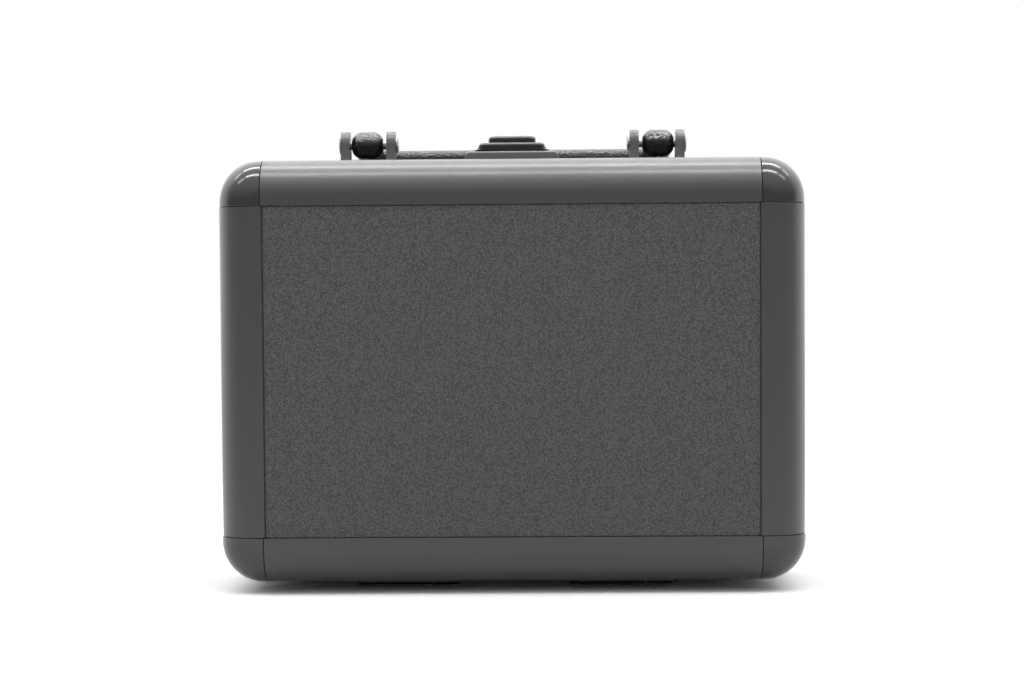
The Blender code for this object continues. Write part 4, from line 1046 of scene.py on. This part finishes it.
# %% Sizes of the hasp, and a stack of outlines
HASP_X, HASP_TOP, HASP_PLATE, HASP_CORNER = 0.0170, 0.0094, 0.0039, 0.0026
HASP_EDGE, HASP_DRAFT = 0.0017, 0.0007
SKIRT, SKIRT_GAP, HASP_REACH, ROOM_ROUND = 0.0032, 0.0004, 0.0110, 0.0001
FLANGE_X, FLANGE, FLARE = 0.0182, 0.0005, 0.0006
HASP_BARREL, BODY_CLEAR = 0.0032, 0.0012
front = PARTING_Y - HASP_REACH
rear = HASP_AXIS[1] - LUG_R - BODY_CLEAR
crown, under = TOP_Z + HASP_TOP, TOP_Z + HASP_TOP - HASP_PLATE
skirt_front = PARTING_Y + SKIRT_GAP
skirt_low = TOP_Z + PLATE + 2 * GAP


def stacked(rows, half_width, near, far, corner):
    """Level outlines, one for each (height, side inset, front inset, rear inset)."""
    rings = []
    for z, side, front_inset, rear_inset in rows:
        x, low, high = half_width - side, near + front_inset, far - rear_inset
        rings.append(on_axes(span_box((-x, low), (x, high), corner), "Z", z))
    return skin(rings)


print("hasp width, mm:", 2 * HASP_X / MM)

# %% Hasp with its flange, skirt, hollow and tail
flare = FLANGE_X - HASP_X
step = under + FLANGE
rows = [(under, -flare, 0, 0), (step, -flare, 0, 0)]
for a, b in arc((0, 0), 1, 270, 180, 5):
    rows.append((step + FLARE * (1 + b), -flare * (1 + a), 0, 0))
for a, b in arc((0, 0), 1, 0, 90, 10):
    inset = HASP_EDGE * (1 - a)
    rows.append((crown - HASP_EDGE * (1 - b), HASP_DRAFT + inset, inset, 0))
cover = stacked(rows, HASP_X, front, rear, HASP_CORNER)
outline = [(skirt_front, skirt_low), (rear, skirt_low), (rear, step), (skirt_front, step)]
skirt = prism(outline, "X", -HASP_X, HASP_X)
drop = np.degrees(np.arcsin((HASP_AXIS[2] - under) / HASP_BARREL))
curl = arc(HASP_AXIS[1:], HASP_BARREL, 180 + drop, 450, 30)
neck = [(rear - SKIRT, HASP_AXIS[2] + HASP_BARREL), (rear - SKIRT, under)]
tail = prism(np.vstack((neck, curl)), "X", -TAIL_X, TAIL_X)
low, high = (skirt_front - GAP, skirt_low - 2 * MM), (rear - SKIRT / 2, under)
room = prism(span_box(low, high, ROOM_ROUND, 2), "X", SKIRT - HASP_X, HASP_X - SKIRT)
PLUG = 0.0058
plug_hole = bar(PLUG + GAP, -2 * MM, 10 * MM, "Z", LOCK, 48)
cuts = [room, plug_hole, hasp_bar(HASP_PIN + GAP, HASP_X)]
mesh = carved("hasp_cover", cover, [skirt, tail], cuts)
piece("hasp_cover", "hasp", mesh, "gloss_hasp", ["hasp"], SOFT_EDGE, limit=50)
print("faces in the hasp:", len(mesh.polygons))

# %% [markdown]
# ## Lock
# A raised bezel with rounded edges stands on the hasp. The nickel plug turns in it and
# carries the cam. The bezel is a stack of outlines like the hasp, the plug is turned,
# and the hole and the keyway are cut with Booleans.

# %% Bezel
BEZEL_X, BEZEL_LENGTH, BEZEL_CORNER, BEZEL_TOP = 0.0119, 0.0190, 0.0034, 0.0133
BEZEL_ROUND, BEZEL_SIDE, BEZEL_DRAFT = 0.0018, 0.0016, 0.0001
seat = HASP_PLATE + GAP
crest = BEZEL_TOP + HASP_PLATE - HASP_TOP
rows = [(LOCK[2] + seat, 0, 0, 0)]
for a, b in arc((0, 0), 1, 0, 90, 10):
    inset = BEZEL_DRAFT + BEZEL_ROUND * (1 - a)
    side = BEZEL_DRAFT + BEZEL_SIDE * (1 - a)
    rows.append((LOCK[2] + crest - BEZEL_ROUND * (1 - b), side, inset, inset))
near, far = LOCK[1] - BEZEL_LENGTH / 2, LOCK[1] + BEZEL_LENGTH / 2
block = stacked(rows, BEZEL_X, near, far, BEZEL_CORNER)
mesh = carved("lock_cover", block, cuts=[plug_hole])
piece("lock_cover", "hasp", mesh, "gloss_hasp", ["lock_bezel"], 0.15 * MM, limit=50)
print("bezel, mm:", 2 * BEZEL_X / MM, "x", BEZEL_LENGTH / MM)

# %% Key plug, with painted shade in its keyway
PLUG_RISE, PLUG_DISH, PLUG_RING = 0.0003, 0.0003, 0.22
KEYWAY, KEYWAY_LENGTH, KEYWAY_DEPTH = 0.0016, 0.0064, 0.0060
cam_top = CAM_Z + CAM - (HASP_TOP - HASP_PLATE)
face = crest + PLUG_RISE
ridge, dish = PLUG * (1 - PLUG_RING), face - PLUG_DISH
shank = [(cam_top + GAP, 0), (cam_top + GAP, PLUG), (dish, PLUG)]
ring = [(face, PLUG - PLUG_DISH), (face, ridge), (dish, ridge - PLUG_DISH), (dish, 0)]
half_x, half_y = KEYWAY / 2, KEYWAY_LENGTH / 2
outline = round_box(half_x, half_y, half_x - 0.02 * MM, 8, LOCK[:2])
keyway = prism(outline, "Z", LOCK[2] + face - KEYWAY_DEPTH, LOCK[2] + face + MM)
mesh = carved("key_plug", turned(shank + ring, "Z", LOCK, 64), cuts=[keyway])
piece("key_plug", "lock", mesh, "dull_nickel", ["lock_plug"], limit=25)
# The faces inside the keyway take the dark rivet finish: painted shade in the deep slot.
centres = np.empty(3 * len(mesh.polygons))
mesh.polygons.foreach_get("center", centres)
x, y, z = np.abs(centres.reshape(-1, 3) - LOCK * (1, 1, 0)).T
inside = (x < half_x + GAP) & (y < half_y + GAP) & (z < LOCK[2] + dish - 0.05 * MM)
mesh.materials.append(finishes["black_rivet"])
mesh.polygons.foreach_set("material_index", inside.astype(np.int32))
print("key plug, mm:", 2 * PLUG / MM, "faces of the keyway:", int(inside.sum()))

# %% Cam
low, tip, half = TOP_Z + CAM_Z, LOCK[0] + CAM_REACH, CAM_WIDTH / 2
blade = np.vstack((
    arc(LOCK[:2], half, 90, 270, 20),
    arc((tip - half / 2, LOCK[1] - half / 2), half / 2, 270, 360, 6),
    arc((tip - half / 2, LOCK[1] + half / 2), half / 2, 0, 90, 6),
))
cam = prism(blade, "Z", low, low + CAM)
piece("cam_blade", "lock", [cam], "turned_steel", ["lock_cam"], bevel=0.12 * MM)
print("cam reach, mm:", CAM_REACH / MM)
